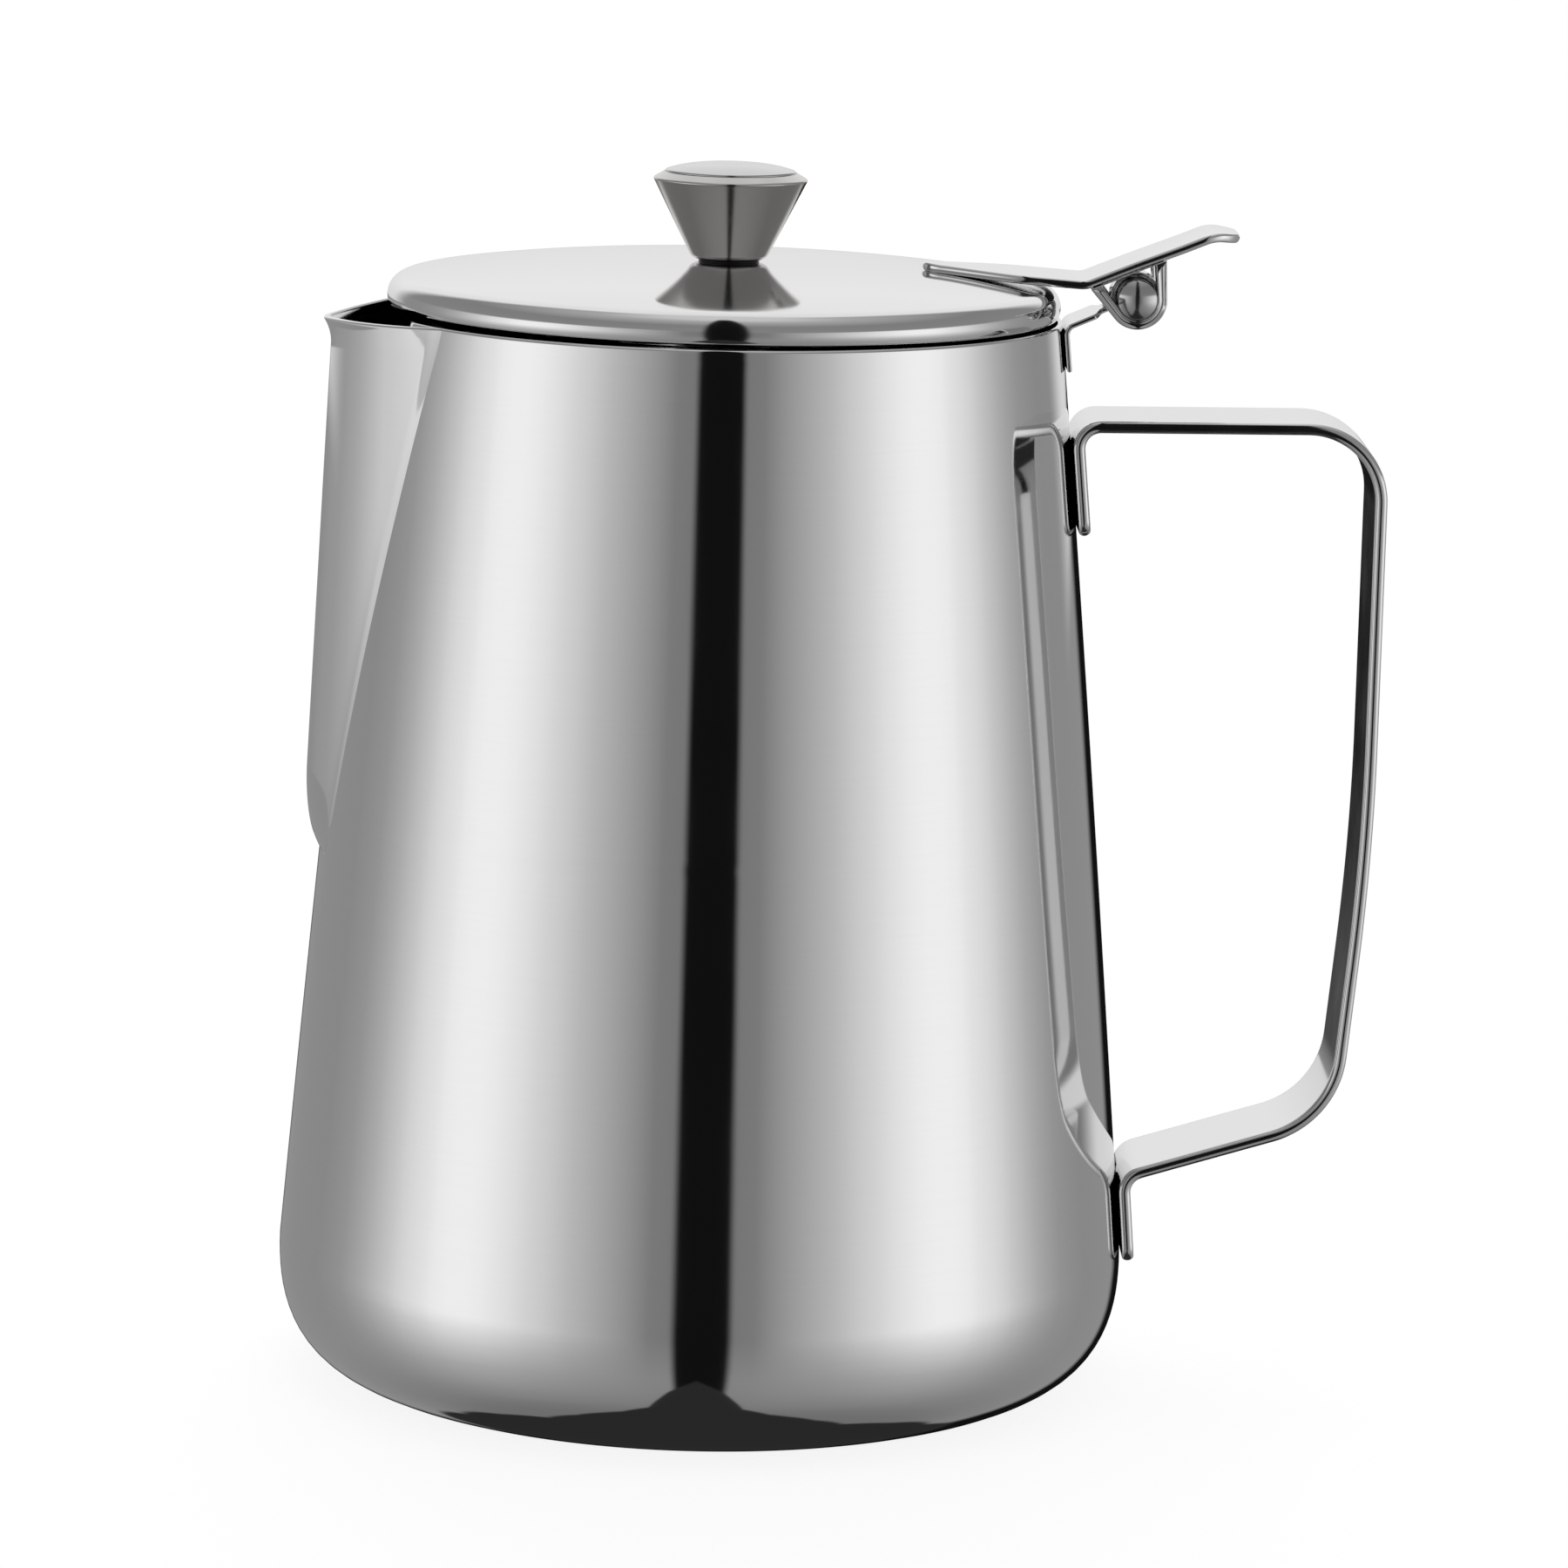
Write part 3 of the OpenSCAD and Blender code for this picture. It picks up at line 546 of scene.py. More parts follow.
@dataclass
class Spout:
    """The welded spout, whose level sections leave the wall at a crease and close on a round nose."""

    pot: Pot
    top_out: float = 7.5 * MM
    low_out: float = 3.4 * MM
    foot_h: float = 84.5 * MM
    round_h: float = 12.5 * MM
    nose_r: float = 6 * MM
    flank_r: float = 75 * MM
    crease_top: float = math.radians(37)
    crease_low: float = math.radians(12)
    flare: float = 1.6 * MM
    flare_h: float = 5 * MM
    drop: float = 1.9 * MM
    least_out: float = 0.02 * MM
    weld_sink: float = 0.18 * MM
    sink_share: float = 0.12
    weld: float = 0.35 * MM
    weld_run: float = math.radians(1.8)

    def rounding(self, z: np.ndarray) -> np.ndarray:
        """Share of the spout's full depth at height z, which grows as a quarter circle above the foot."""
        s = np.clip((z - self.foot_h) / self.round_h, 0, 1)
        return np.sqrt(1 - (1 - s) ** 2)

    def nose_out(self, z: np.ndarray) -> np.ndarray:
        """Distance of the nose from the axis: a straight line, eased at the foot, plus flare (share)^2."""
        low_h = self.foot_h + self.round_h
        top = self.pot.rim_r + self.top_out
        low = self.pot.wall_radius(low_h) + self.low_out
        line = low + (top - low) * (z - low_h) / (self.pot.rim_h - self.flare_h - low_h)
        wall = self.pot.wall_radius(z)
        lip = np.clip((z - self.pot.rim_h + self.flare_h) / self.flare_h, 0, 1)
        return wall + np.maximum(self.least_out, (line - wall) * self.rounding(z)) + self.flare * lip ** 2

    def face(self, heights: np.ndarray, inner: bool) -> np.ndarray:
        """One face of the sheet as rows of points, one row per height.

        The flank is an arc about the point Q, which lies at flank radius from the crease on the wall and at
        the flank radius less the nose radius from the nose's middle M, so both arcs touch. Past the crease
        the arc runs on into the wall. At the height h above the wall a point is then set to
        (h + sqrt(h^2 + w^2)) / 2 above it, where w is the width of the weld, which blends the two faces.
        Over the last stretch of the arc the sheet sinks by a smooth step into the pot's own sheet, so its
        edge doesn't show.

        Args:
            heights: Height of each row.
            inner: Whether it is the inner face.

        Returns:
            The points.
        """
        z = heights[:, None]
        rise = (z - self.foot_h) / (self.pot.rim_h - self.foot_h)
        wall, m = self.pot.wall_radius(z), self.nose_out(z) - self.nose_r
        crease = self.crease_low + (self.crease_top - self.crease_low) * rise
        x, y = wall * np.cos(crease) - m, wall * np.sin(crease)
        far = np.hypot(x, y)
        reach = self.flank_r - self.nose_r
        along = (reach ** 2 - self.flank_r ** 2 + far ** 2) / (2 * far)
        off = np.sqrt(reach ** 2 - along ** 2)
        q_x, q_y = m + (along * x - off * y) / far, (along * y + off * x) / far
        inset = self.pot.sheet if inner else 0.0
        flank_r, nose_r, q = self.flank_r - inset, self.nose_r - inset, np.hypot(q_x, q_y)
        start = np.arctan2(q_y, q_x) + np.arccos((wall ** 2 - q ** 2 - flank_r ** 2) / (2 * flank_r * q))
        end = np.arctan2(-q_y, m - q_x)
        near = np.linspace(0, self.sink_share, 16, endpoint=False)
        s = np.concatenate([near, np.linspace(self.sink_share, 1, 40, endpoint=False)])
        a = start + self.weld_run + (end - start - self.weld_run) * s
        k = end * (1 - np.linspace(0, 1, 17))
        half_x = np.concatenate([q_x + flank_r * np.cos(a), m + nose_r * np.cos(k)], axis=1)
        half_y = np.concatenate([q_y + flank_r * np.sin(a), nose_r * np.sin(k)], axis=1)
        radius, angle = np.hypot(half_x, half_y), np.arctan2(half_y, half_x)
        high = radius - wall
        width = self.weld * (0.1 + 0.9 * self.rounding(z))
        radius = wall + self.least_out * (0.4 if inner else 1) + (high + np.sqrt(high ** 2 + width ** 2)) / 2
        radius[:, :len(s)] -= self.weld_sink * (1 - smooth_step(s / self.sink_share))
        flat_x, flat_y = -radius * np.cos(angle), radius * np.sin(angle)
        flat_x = np.concatenate([flat_x, flat_x[:, -2::-1]], axis=1)
        flat_y = np.concatenate([-flat_y, flat_y[:, -2::-1]], axis=1)
        from_x = 0.8 * self.pot.rim_r
        tip = np.clip((-flat_x - from_x) / (self.nose_out(self.pot.rim_h) - from_x), 0, None)
        return np.stack([flat_x, flat_y, z - self.drop * tip * rise ** 6], axis=-1)

    def build(self) -> bpy.types.Object:
        """Joins both faces over a half-round lip, and closes the foot and the two welded sides.

        Returns:
            The spout.
        """
        s = np.concatenate([np.linspace(0, 0.3, 40) ** 1.6 / 0.3 ** 0.6, np.linspace(0.3, 0.985, 60)[1:]])
        s = np.concatenate([s, np.linspace(0.985, 1, 8)[1:]])
        half = self.pot.sheet / 2
        heights = self.foot_h + (self.pot.rim_h - half - self.foot_h) * s
        outer, inner = self.face(heights, False), self.face(heights, True)
        turn = np.linspace(0, math.pi, 9)[1:-1, None, None]
        centre, reach = (outer[-1] + inner[-1]) / 2, (outer[-1] - inner[-1]) / 2
        lip = centre + reach * np.cos(turn) + np.array([0, 0, half]) * np.sin(turn)
        shell = np.concatenate([outer, lip, inner[::-1]])
        rows, cols = shell.shape[:2]
        faces = [grid_faces(rows, cols, True, False)]
        pair = np.arange(rows // 2)
        for side in (0, cols - 1):
            mate = rows - 1 - pair
            ahead = np.minimum(pair + 1, rows // 2)
            faces.append(np.stack([pair * cols + side, ahead * cols + side, (rows - 1 - ahead) * cols + side,
                                   mate * cols + side], axis=-1))
        return make_piece("pouring_spout", shell, np.concatenate(faces))


@dataclass
class StrapHandle:
    """The bent strap handle with both feet turned down on the wall."""

    pot: Pot
    width: float = 21 * MM
    thickness: float = 1.9 * MM
    drop: float = 14.7 * MM
    bar_rise: float = 0.6 * MM
    out: float = 37.4 * MM
    bend_rise: float = 42.6 * MM
    lean: float = 3.8 * MM
    low_h: float = 44.6 * MM
    root_h: float = 34.4 * MM
    top_corner: float = 12.5 * MM
    low_corner: float = 16 * MM
    bow: float = 400 * MM
    top_foot: float = 18.3 * MM
    low_foot: float = 14 * MM
    end_round: float = 2.5 * MM

    def build(self) -> bpy.types.Object:
        """Carries the strap's section along its middle line, from the upper foot to the lower one.

        Returns:
            The handle.
        """
        half = self.thickness / 2
        top = self.pot.rim_h - self.drop
        grip = self.pot.belly_r + self.out - half
        heights = (top - self.top_foot, top - half, self.root_h, self.root_h - self.low_foot)
        a, b, c, d = ((float(self.pot.wall_radius(z)) + half, z) for z in heights)
        root = 1.8 * self.thickness
        corners = [a, b, (grip, top - half + self.bar_rise), (grip, self.low_h + self.bend_rise),
                   (grip - self.lean, self.low_h), c, d]
        radii = [0, root, self.top_corner - half, self.bow, self.low_corner - half, root, 0]
        line = resample(soft_line(corners, radii), 420, self.end_round, 14)
        run = lengths_along(line)
        to_end = np.minimum(np.minimum(run, run[-1] - run), self.end_round)
        r = self.end_round
        half_width = self.width / 2 - r + np.sqrt(np.clip(r * r - (r - to_end) ** 2, 0, None))
        return strap("strap_handle", line, half_width, self.thickness, 0.8 * half)


@dataclass
class Lid:
    """The lid's sheet, domed in the middle and rolled at its edge, and the plug ring under it."""

    pot: Pot
    over: float = -0.8 * MM
    set_over: float = 0.5 * MM
    bead_r: float = 3.2 * MM
    bead_rise: float = 2.15 * MM
    dome_rise: float = 2.8 * MM
    dome_power: float = 2.45
    knob_set: float = 0.6 * MM
    flat_r: float = 4.8 * MM
    hole_r: float = 2.1 * MM
    ring_drop: float = 6 * MM
    roll_gap: float = 0.1 * MM
    roll_end: float = math.radians(-105)
    segments: int = 240

    @property
    def bead_mid(self) -> np.ndarray:
        """Middle of the rolled edge, as (radius, height)."""
        return np.array([self.pot.rim_r + self.over - self.bead_r, self.pot.rim_h + self.bead_rise])

    @property
    def edge_angle(self) -> float:
        """How steeply the dome falls where the roll takes over from it."""
        return math.atan(self.dome_power * self.dome_rise / (self.bead_mid[0] - self.flat_r))

    @property
    def edge_r(self) -> float:
        """Radius at which the roll takes over from the dome."""
        return self.bead_mid[0] + self.bead_r * math.sin(self.edge_angle)

    @property
    def top_h(self) -> float:
        """Height of the lid's flat middle, on which the knob stands."""
        return self.bead_mid[1] + self.bead_r * math.cos(self.edge_angle) + self.dome_rise

    def height(self, r: np.ndarray) -> np.ndarray:
        """Height of the lid's face at radius r: outside the flat middle it falls by rise (share)^power."""
        share = np.clip(r - self.flat_r, 0, None) / (self.edge_r - self.flat_r)
        return self.top_h - self.dome_rise * share ** self.dome_power

    def cover(self) -> bpy.types.Object:
        """Spins the sheet: flat middle, dome, then the roll down to its inner edge.

        Returns:
            The cover.
        """
        half = self.pot.sheet / 2
        r = np.linspace(self.hole_r + self.knob_set + half, self.edge_r - 0.4 * MM, 120)
        dome = np.stack([r, self.height(r) - half], axis=-1)
        roll = arc(self.bead_mid, self.bead_r - half, math.pi / 2 - self.edge_angle, self.roll_end, 70)
        line = resample(np.concatenate([dome, roll]), 190, 1.2 * MM, 6)
        outline = sheet_outline(line, self.pot.sheet)
        return spin("lid_sheet", outline, self.segments, mid=(self.set_over, 0.0, 0.0))

    def plug_ring(self) -> bpy.types.Object:
        """Spins the plug ring's straight band.

        Returns:
            The ring.
        """
        sheet = self.pot.sheet
        middle = self.bead_mid[0] + self.bead_r * math.cos(self.roll_end) - self.roll_gap - sheet / 2
        top = float(self.height(middle)) - sheet
        ends = np.array([[middle, self.pot.rim_h - self.ring_drop + sheet / 2], [middle, top - sheet / 2]])
        return spin("lid_plug_ring", sheet_outline(resample(ends, 20, 1 * MM, 5), sheet), self.segments,
                    mid=(self.set_over, 0.0, 0.0))


@dataclass
class Knob:
    """The turned knob: a thin ring coloured near black as painted contact shade, a cone with a sloping crown,
    and a cap.
    """

    base_h: float
    set_over: float
    neck_r: float = 4.8 * MM
    neck_h: float = 0.3 * MM
    neck_hollow: float = 0.1 * MM
    cone_r: float = 12.05 * MM
    cone_h: float = 12.5 * MM
    crown_h: float = 1.2 * MM
    cap_r: float = 10.2 * MM
    cap_rise: float = 1.4 * MM
    recess: float = 1 * MM
    hole_r: float = 2.1 * MM
    bore_share: float = 0.6
    edge: float = 0.3 * MM
    flank_lean: float = math.radians(27)
    crown_lean: float = math.radians(49)
    segments: int = 192

    def spun(self, name: str, outline: np.ndarray) -> bpy.types.Object:
        """Spins a piece of the knob about the lid's own axis."""
        return spin(name, outline, self.segments, mid=(self.set_over, 0.0, 0.0))

    def neck(self) -> bpy.types.Object:
        """Spins the neck ring with a slightly hollow side.

        Returns:
            The ring.
        """
        s = np.linspace(0, 1, 12)
        hollow = self.neck_hollow * np.sin(math.pi * s)
        side = np.stack([self.neck_r - hollow, self.base_h + self.neck_h * s], axis=-1)
        inside = np.array([[self.hole_r, self.base_h + self.neck_h], [self.hole_r, self.base_h]])
        return self.spun("neck_ring", np.concatenate([side, inside]))

    def cone(self) -> bpy.types.Object:
        """Spins the cone: round lower edge, straight flank, thin rim, sloping crown and the cap's recess.

        Returns:
            The cone.
        """
        round_r, rim, bore_h = self.neck_r / 3, self.edge, self.bore_share * self.cone_h
        lower = arc([self.neck_r, round_r], round_r, -math.pi / 2, -self.flank_lean, 14)
        lip = arc([self.cone_r - rim, self.cone_h], rim, -self.flank_lean, self.crown_lean, 10)
        flank = np.linspace(lower[-1], lip[0], 40)[1:-1]
        pocket_r, top = self.cap_r + 0.1 * MM, self.cone_h + self.crown_h
        crown = np.linspace(lip[-1], [pocket_r, top], 8)[1:]
        pocket = np.array([[pocket_r, top - self.recess], [0, top - self.recess]])
        under = np.array([[0, bore_h], [self.hole_r, bore_h], [self.hole_r, 0]])
        outline = np.concatenate([under, lower, flank, lip, crown, pocket])
        return self.spun("knob_cone_shell", outline + [0, self.base_h + self.neck_h])

    def cap(self) -> bpy.types.Object:
        """Spins the cap: straight side, soft edge and a dome that falls with the cube of the radius.

        Returns:
            The cap.
        """
        side_h = self.recess + 0.15 * self.cap_rise
        soft = arc([self.cap_r - self.edge, side_h - 0.2 * MM], self.edge, 0, math.radians(67), 10)
        s = np.linspace(0.975, 0, 50)
        rise = self.recess + self.cap_rise - side_h
        dome = np.stack([self.cap_r * s, side_h + rise * (1 - s ** 3)], axis=-1)
        base = np.linspace([0, 0], [self.cap_r, 0], 8)
        low = self.base_h + self.neck_h + self.cone_h + self.crown_h - self.recess
        return self.spun("knob_top_cap", np.concatenate([base, soft, dome]) + [0, low])


@dataclass
class Hinge:
    """The pin, the bracket that holds it, the two ears and the thumb lever over them."""

    pot: Pot
    lid: Lid
    pin_out: float = 11.3 * MM
    pin_rise: float = 4.2 * MM
    pin_r: float = 3.1 * MM
    pin_len: float = 17 * MM
    knuckle_w: float = 6.4 * MM
    ear_t: float = 1.45 * MM
    ear_web: float = 0.15 * MM
    ear_soft: float = 0.25 * MM
    run_gap: float = 0.06 * MM
    free_gap: float = 0.3 * MM
    bracket_t: float = 0.8 * MM
    bracket_w: float = 14 * MM
    bracket_foot: float = 7.5 * MM
    bracket_ease: float = 1.2 * MM
    curl_start: float = math.radians(205)
    curl_turn: float = math.radians(318)
    lever_w: float = 16.6 * MM
    lever_t: float = 1.4 * MM
    lever_angle: float = math.radians(22.5)
    bend_in: float = 7.9 * MM
    reach: float = 16.2 * MM
    tongue: float = 33.5 * MM
    tongue_end: float = 2.6 * MM
    weld_gap: float = 0.05 * MM

    @property
    def pin_mid(self) -> np.ndarray:
        """Middle of the pin, as (x, z)."""
        return np.array([self.pot.rim_r + self.pin_out, self.pot.rim_h + self.pin_rise])

    @property
    def lever_over(self) -> float:
        """Distance from the pin's axis up to the lever's underside, which clears the knuckle."""
        return self.pin_r + self.bracket_t + self.free_gap + 0.1 * MM

    @property
    def bend(self) -> np.ndarray:
        """Corner of the lever's underside between the tongue and the rise, as (x, z)."""
        rise = (self.lever_over - self.bend_in * math.sin(self.lever_angle)) / math.cos(self.lever_angle)
        return self.pin_mid + [-self.bend_in, rise]

    def pin(self) -> bpy.types.Object:
        """Spins the pin round its own axis, with shallow domes as its ends.

        Returns:
            The pin.
        """
        dome = 0.35 * self.pin_r
        ball = (self.pin_r ** 2 + dome ** 2) / (2 * dome)
        reach = math.asin(self.pin_r / ball)
        end = arc([0, self.pin_len / 2 + dome - ball], ball, math.pi / 2 - reach, math.pi / 2, 16)
        side = np.linspace([self.pin_r, -self.pin_len / 2], [self.pin_r, self.pin_len / 2], 14)
        outline = np.concatenate([side, end[1:], (end * [1, -1])[::-1][:-1]])
        x, z = self.pin_mid
        return spin("pivot_pin", outline, 72, Turn.ACROSS, (x, 0.0, z))

    def bracket(self) -> bpy.types.Object:
        """Carries a strip up the wall, out to the pin and round it, narrowing where the ears begin.

        Returns:
            The bracket.
        """
        half = self.bracket_t / 2
        join = self.pin_r + half
        x, z = self.pin_mid
        low, root = self.pot.rim_h - self.bracket_foot, self.pot.rim_h - self.bracket_t
        foot = [(float(self.pot.wall_radius(h)) + half, h) for h in (low, root)]
        stem = soft_line([*foot, (x - join, z)], [0, 2 * self.bracket_t, 0])
        curl = arc((x, z), join, math.pi, math.pi - self.curl_turn, 90)
        blend = arc((x, z), join, self.curl_start, math.pi, 8)[:-1]
        line = resample(np.concatenate([stem[:-1], blend, curl]), 190, 1 * MM, 8)
        from_pin = np.linalg.norm(line - self.pin_mid, axis=1)
        clear = self.pin_r + self.run_gap + self.ear_t + 4 * self.free_gap
        wide = smooth_step((from_pin - clear) / self.bracket_ease)
        half_width = (self.knuckle_w + (self.bracket_w - self.knuckle_w) * wide) / 2
        return strap("hinge_strap", line, half_width, self.bracket_t, 0.3 * self.bracket_t)

    def ear(self, side: int) -> bpy.types.Object:
        """One ear: a strap that leaves the lever, runs under the pin and comes back up to the lever.

        Seen along the pin, with a as the angle from the lever's direction, each face is a circle of radius r
        under the pin. Over the top it lies at the least of r / cos(a - a1), r / cos(a - a2) and h / sin a.
        There a1 and a2 are the directions square to its two straight sides, and h is the lever's height.

        Args:
            side: -1 for the near ear, 1 for the far one.

        Returns:
            The ear.
        """
        height = self.lever_over - self.weld_gap
        outer_r = self.pin_r + self.run_gap + self.ear_t
        a = np.linspace(math.radians(-60), TAU - math.radians(60), 240, endpoint=False)

        def reach(r: float, top: float, foot_in: float, foot_out: float) -> np.ndarray:
            """Distance of the loop's face from the pin's axis at every angle."""
            a1 = math.atan2(height, foot_out) - math.acos(r / math.hypot(height, foot_out))
            a2 = math.atan2(height, -foot_in) + math.acos(r / math.hypot(height, foot_in))
            slopes = [np.maximum(share, 1e-3) for share in (np.cos(a - a1), np.cos(a - a2), np.sin(a))]
            lines = [length / slope for length, slope in zip((r, r, top), slopes)]
            return np.where((a > a1) & (a < a2), np.minimum.reduce(lines), r)

        foot_in, foot_out, inset = 1.35 * outer_r, 1.4 * outer_r, 1.25 * self.ear_t
        inner_r, inner_top = self.pin_r + self.run_gap, height - self.ear_web
        inner = reach(inner_r, inner_top, foot_in - inset, foot_out - inset)
        outer = reach(outer_r, height, foot_in, foot_out)
        gap = self.knuckle_w / 2 + self.free_gap
        width = self.pin_len / 2 - gap
        soft = np.minimum(self.ear_soft, 0.4 * (outer - inner))[:, None]
        corner = np.linspace(0, math.pi / 2, 5)
        # The section runs round a rectangle, inner to outer face and back, with rounded corners
        c, s = np.cos(corner), np.sin(corner)
        out_share = np.repeat([1.0, 1.0, 0.0, 0.0], len(corner))
        out_round = np.concatenate([c - 1, s - 1, 1 - c, 1 - s])
        wide_share = np.repeat([1.0, 0.0, 0.0, 1.0], len(corner))
        wide_round = np.concatenate([s - 1, 1 - c, 1 - s, c - 1])
        radius = inner[:, None] + (outer - inner)[:, None] * out_share + soft * out_round
        across = gap + width * wide_share + soft * wide_round
        turned = a[:, None] + self.lever_angle
        x, z = self.pin_mid
        points = np.stack([x + radius * np.cos(turned), side * across, z + radius * np.sin(turned)], axis=-1)
        name = "near_ear" if side < 0 else "far_ear"
        return make_piece(name, points, grid_faces(len(a), radius.shape[1], True, True))

    def lever(self) -> bpy.types.Object:
        """Carries a strip along the tongue, up the lever and over its tip.

        Returns:
            The lever.
        """
        half = self.lever_t / 2
        ahead = np.array([math.cos(self.lever_angle), math.sin(self.lever_angle)])
        up = np.array([-ahead[1], ahead[0]])
        start_x, bend_x = self.pin_mid[0] - self.tongue, self.bend[0]
        start = np.array([start_x, float(self.lid.height(start_x - self.lid.set_over)) - self.weld_gap])
        along = (self.bend - start) / np.linalg.norm(self.bend - start)
        tongue_up = np.array([-along[1], along[0]])
        curl = 3 * self.lever_t
        top = self.bend + ahead * (self.pin_mid[0] + self.reach - curl - bend_x) / ahead[0] + half * up
        corners = [start + half * tongue_up, self.bend + half * (tongue_up + up) / (1 + tongue_up @ up), top,
                   top + [curl, -half]]
        line = resample(soft_line(corners, [0, 3 * self.lever_t, 4 * self.lever_t, 0]), 200, 6 * MM, 30)
        run = lengths_along(line)
        full = self.lever_w / 2
        taper = self.tongue_end + (full - self.tongue_end) * smooth_step(run / self.lever_w) ** 0.8
        nose = np.sqrt(np.clip(1 - (1 - np.minimum(run / self.tongue_end, 1)) ** 2, 0, 1))
        left = run[-1] - run
        tip_r = 0.72 * full
        tip = full - tip_r + np.sqrt(np.clip(tip_r ** 2 - (tip_r - np.minimum(left, tip_r)) ** 2, 0, None))
        half_width = np.minimum(taper * nose, tip)
        camber = 0.2 * MM * smooth_step((line[:, 0] - bend_x - 6 * MM) / (10 * MM))
        return strap("thumb_rest", line, np.maximum(half_width, 0.02 * MM), self.lever_t, 0.7 * half, camber)


@dataclass
class Studio:
    """Pale floor, soft light with dark and bright fields as in a packshot studio, and the camera.

    A direction is given in degrees, by its turn from the camera side and its level above the horizon.
    """

    distance: float = 1.066
    focal_px: float = 7687.2
    elevation: float = math.radians(10.4)
    roll: float = math.radians(1.30)
    shift_px: Span = (85.8, 33.3)
    frame_px: int = 1800
    sensor_mm: float = 36.0
    target: tuple[float, float, float] = (0.0, 0.0, 0.090)
    # Turn of the middle of the soft boxes' ring
    ring_middle: float = 1.0
    # Brightness of the soft boxes at eye level, by turn
    ring: Stops = (
        (0, 0.20), (14, 0.24), (20, 0.34), (24, 0.40), (30, 0.49), (36, 0.58), (43, 0.72), (48, 0.80),
        (53, 0.90), (57, 0.96), (61, 1.02), (66, 1.06), (72, 1.06), (77, 1.02), (80, 0.95), (86, 0.86),
        (90, 0.78), (93, 0.70), (98, 0.60), (103, 0.50), (108, 0.43), (114, 0.36), (120, 0.33),
        (128, 0.30), (180, 0.30))
    ring_scale: float = 1.2
    dim: float = 0.30
    # Brightness of the room below eye level, and how much of the boxes is left there, by level
    low_light: Stops = ((-90, 0.15), (-60, 0.20), (-50, 0.25), (-40, 0.28), (-30, 0.30), (0, 0.30))
    fade: Stops = (
        (-60, 0.0), (-55, 0.0), (-45, 0.06), (-36, 0.15), (-30, 0.22), (-25, 0.35), (-21, 0.48),
        (-16, 0.70), (-8, 1.0), (0, 1.0))
    # How far below eye level the dark table begins, by turn
    table: Stops = (
        (0, 30), (8, 38), (17, 54), (30, 60), (60, 66), (90, 68), (116, 62), (146, 52), (166, 38), (180, 30))
    # Brightness above eye level on the camera's side and behind the jug, by level
    front_high: Stops = ((0, 0.27), (12, 0.27), (41, 0.25), (68, 0.46), (79, 0.65), (90, 0.70))
    back_high: Stops = ((-10, 0.70), (-5, 0.74), (5, 0.83), (15, 0.92), (60, 0.90), (79, 0.65), (90, 0.70))
    # Where one field passes into the next: it begins at the first number and is full at the second
    front_high_level: Span = (8.0, 14.0)
    back_high_turn: Span = (138.0, 156.0)
    back_high_level: Span = (-6.1, -5.3)
    boxes_turn: Span = (6.3, 9.0)
    boxes_right: Span = (160.0, 152.0)
    boxes_left: Span = (-175.0, -166.0)
    roof_level: Span = (76.0, 88.0)
    above_table: Span = (-0.6, 1.2)
    # Brightness of the dark strips between the boxes and of the table
    strip_light: float = 0.006
    table_light: float = 0.025
    # Soft box for the spout: turn, distance, width and height, brightness, and its ramp from side to side
    box_turn: float = math.radians(-127.5)
    box_far: float = 0.5
    box_low: float = 0.01
    box_size: Span = (0.52, 0.19)
    box_light: float = 0.34
    box_ramp: Stops = ((0.06, 0.0), (0.2, 0.13), (0.32, 0.2), (0.46, 0.41), (0.56, 0.63), (0.71, 1.0))
    flank_middle: Span = (-55 * MM, -18 * MM)
    floor_half: float = 3.0
    floor_paint: float = 0.4
    floor_glow: float = 0.84

    def camera(self) -> None:
        """Places the camera at the photograph's viewing angle, with its focal length, tilt and framing."""
        data = bpy.data.cameras.new("photo_camera")
        data.sensor_fit = "HORIZONTAL"
        data.sensor_width = self.sensor_mm
        data.lens = self.focal_px * data.sensor_width / self.frame_px
        data.shift_x = self.shift_px[0] / self.frame_px
        data.shift_y = self.shift_px[1] / self.frame_px
        data.clip_start = 0.01
        back = Vector((0.0, -math.cos(self.elevation), math.sin(self.elevation)))
        right = Vector((1.0, 0.0, 0.0))
        up = back.cross(right)
        turned_right = right * math.cos(self.roll) + up * math.sin(self.roll)
        turned_up = up * math.cos(self.roll) - right * math.sin(self.roll)
        camera = bpy.data.objects.new("photo_camera", data)
        facing = Matrix((turned_right, turned_up, back)).transposed().to_4x4()
        camera.matrix_world = Matrix.Translation(Vector(self.target) + back * self.distance) @ facing
        bpy.context.scene.collection.objects.link(camera)
        bpy.context.scene.camera = camera

    def world(self) -> None:
        """Lights the scene by direction: soft boxes with dark strips between them, and a dark table.

        The camera sees white. Everything else sees a grey that depends on the direction's turn and level.
        """
        world = bpy.data.worlds.new("soft_studio")
        bpy.context.scene.world = world
        world.use_nodes = True
        nodes, links = world.node_tree.nodes, world.node_tree.links
        nodes.clear()

        def math_node(kind: str, *values: float | bpy.types.NodeSocket) -> bpy.types.NodeSocket:
            """A math node on sockets or numbers."""
            node = nodes.new("ShaderNodeMath")
            node.operation = kind
            for k, value in enumerate(values):
                if isinstance(value, (int, float)):
                    node.inputs[k].default_value = value
                else:
                    links.new(value, node.inputs[k])
            return node.outputs[0]

        def ranged(value: bpy.types.NodeSocket, span: Span) -> bpy.types.ShaderNodeMapRange:
            """A node that maps a socket in radians from a span in degrees to 0..1."""
            node = nodes.new("ShaderNodeMapRange")
            node.inputs["From Min"].default_value = math.radians(span[0])
            node.inputs["From Max"].default_value = math.radians(span[1])
            links.new(value, node.inputs["Value"])
            return node

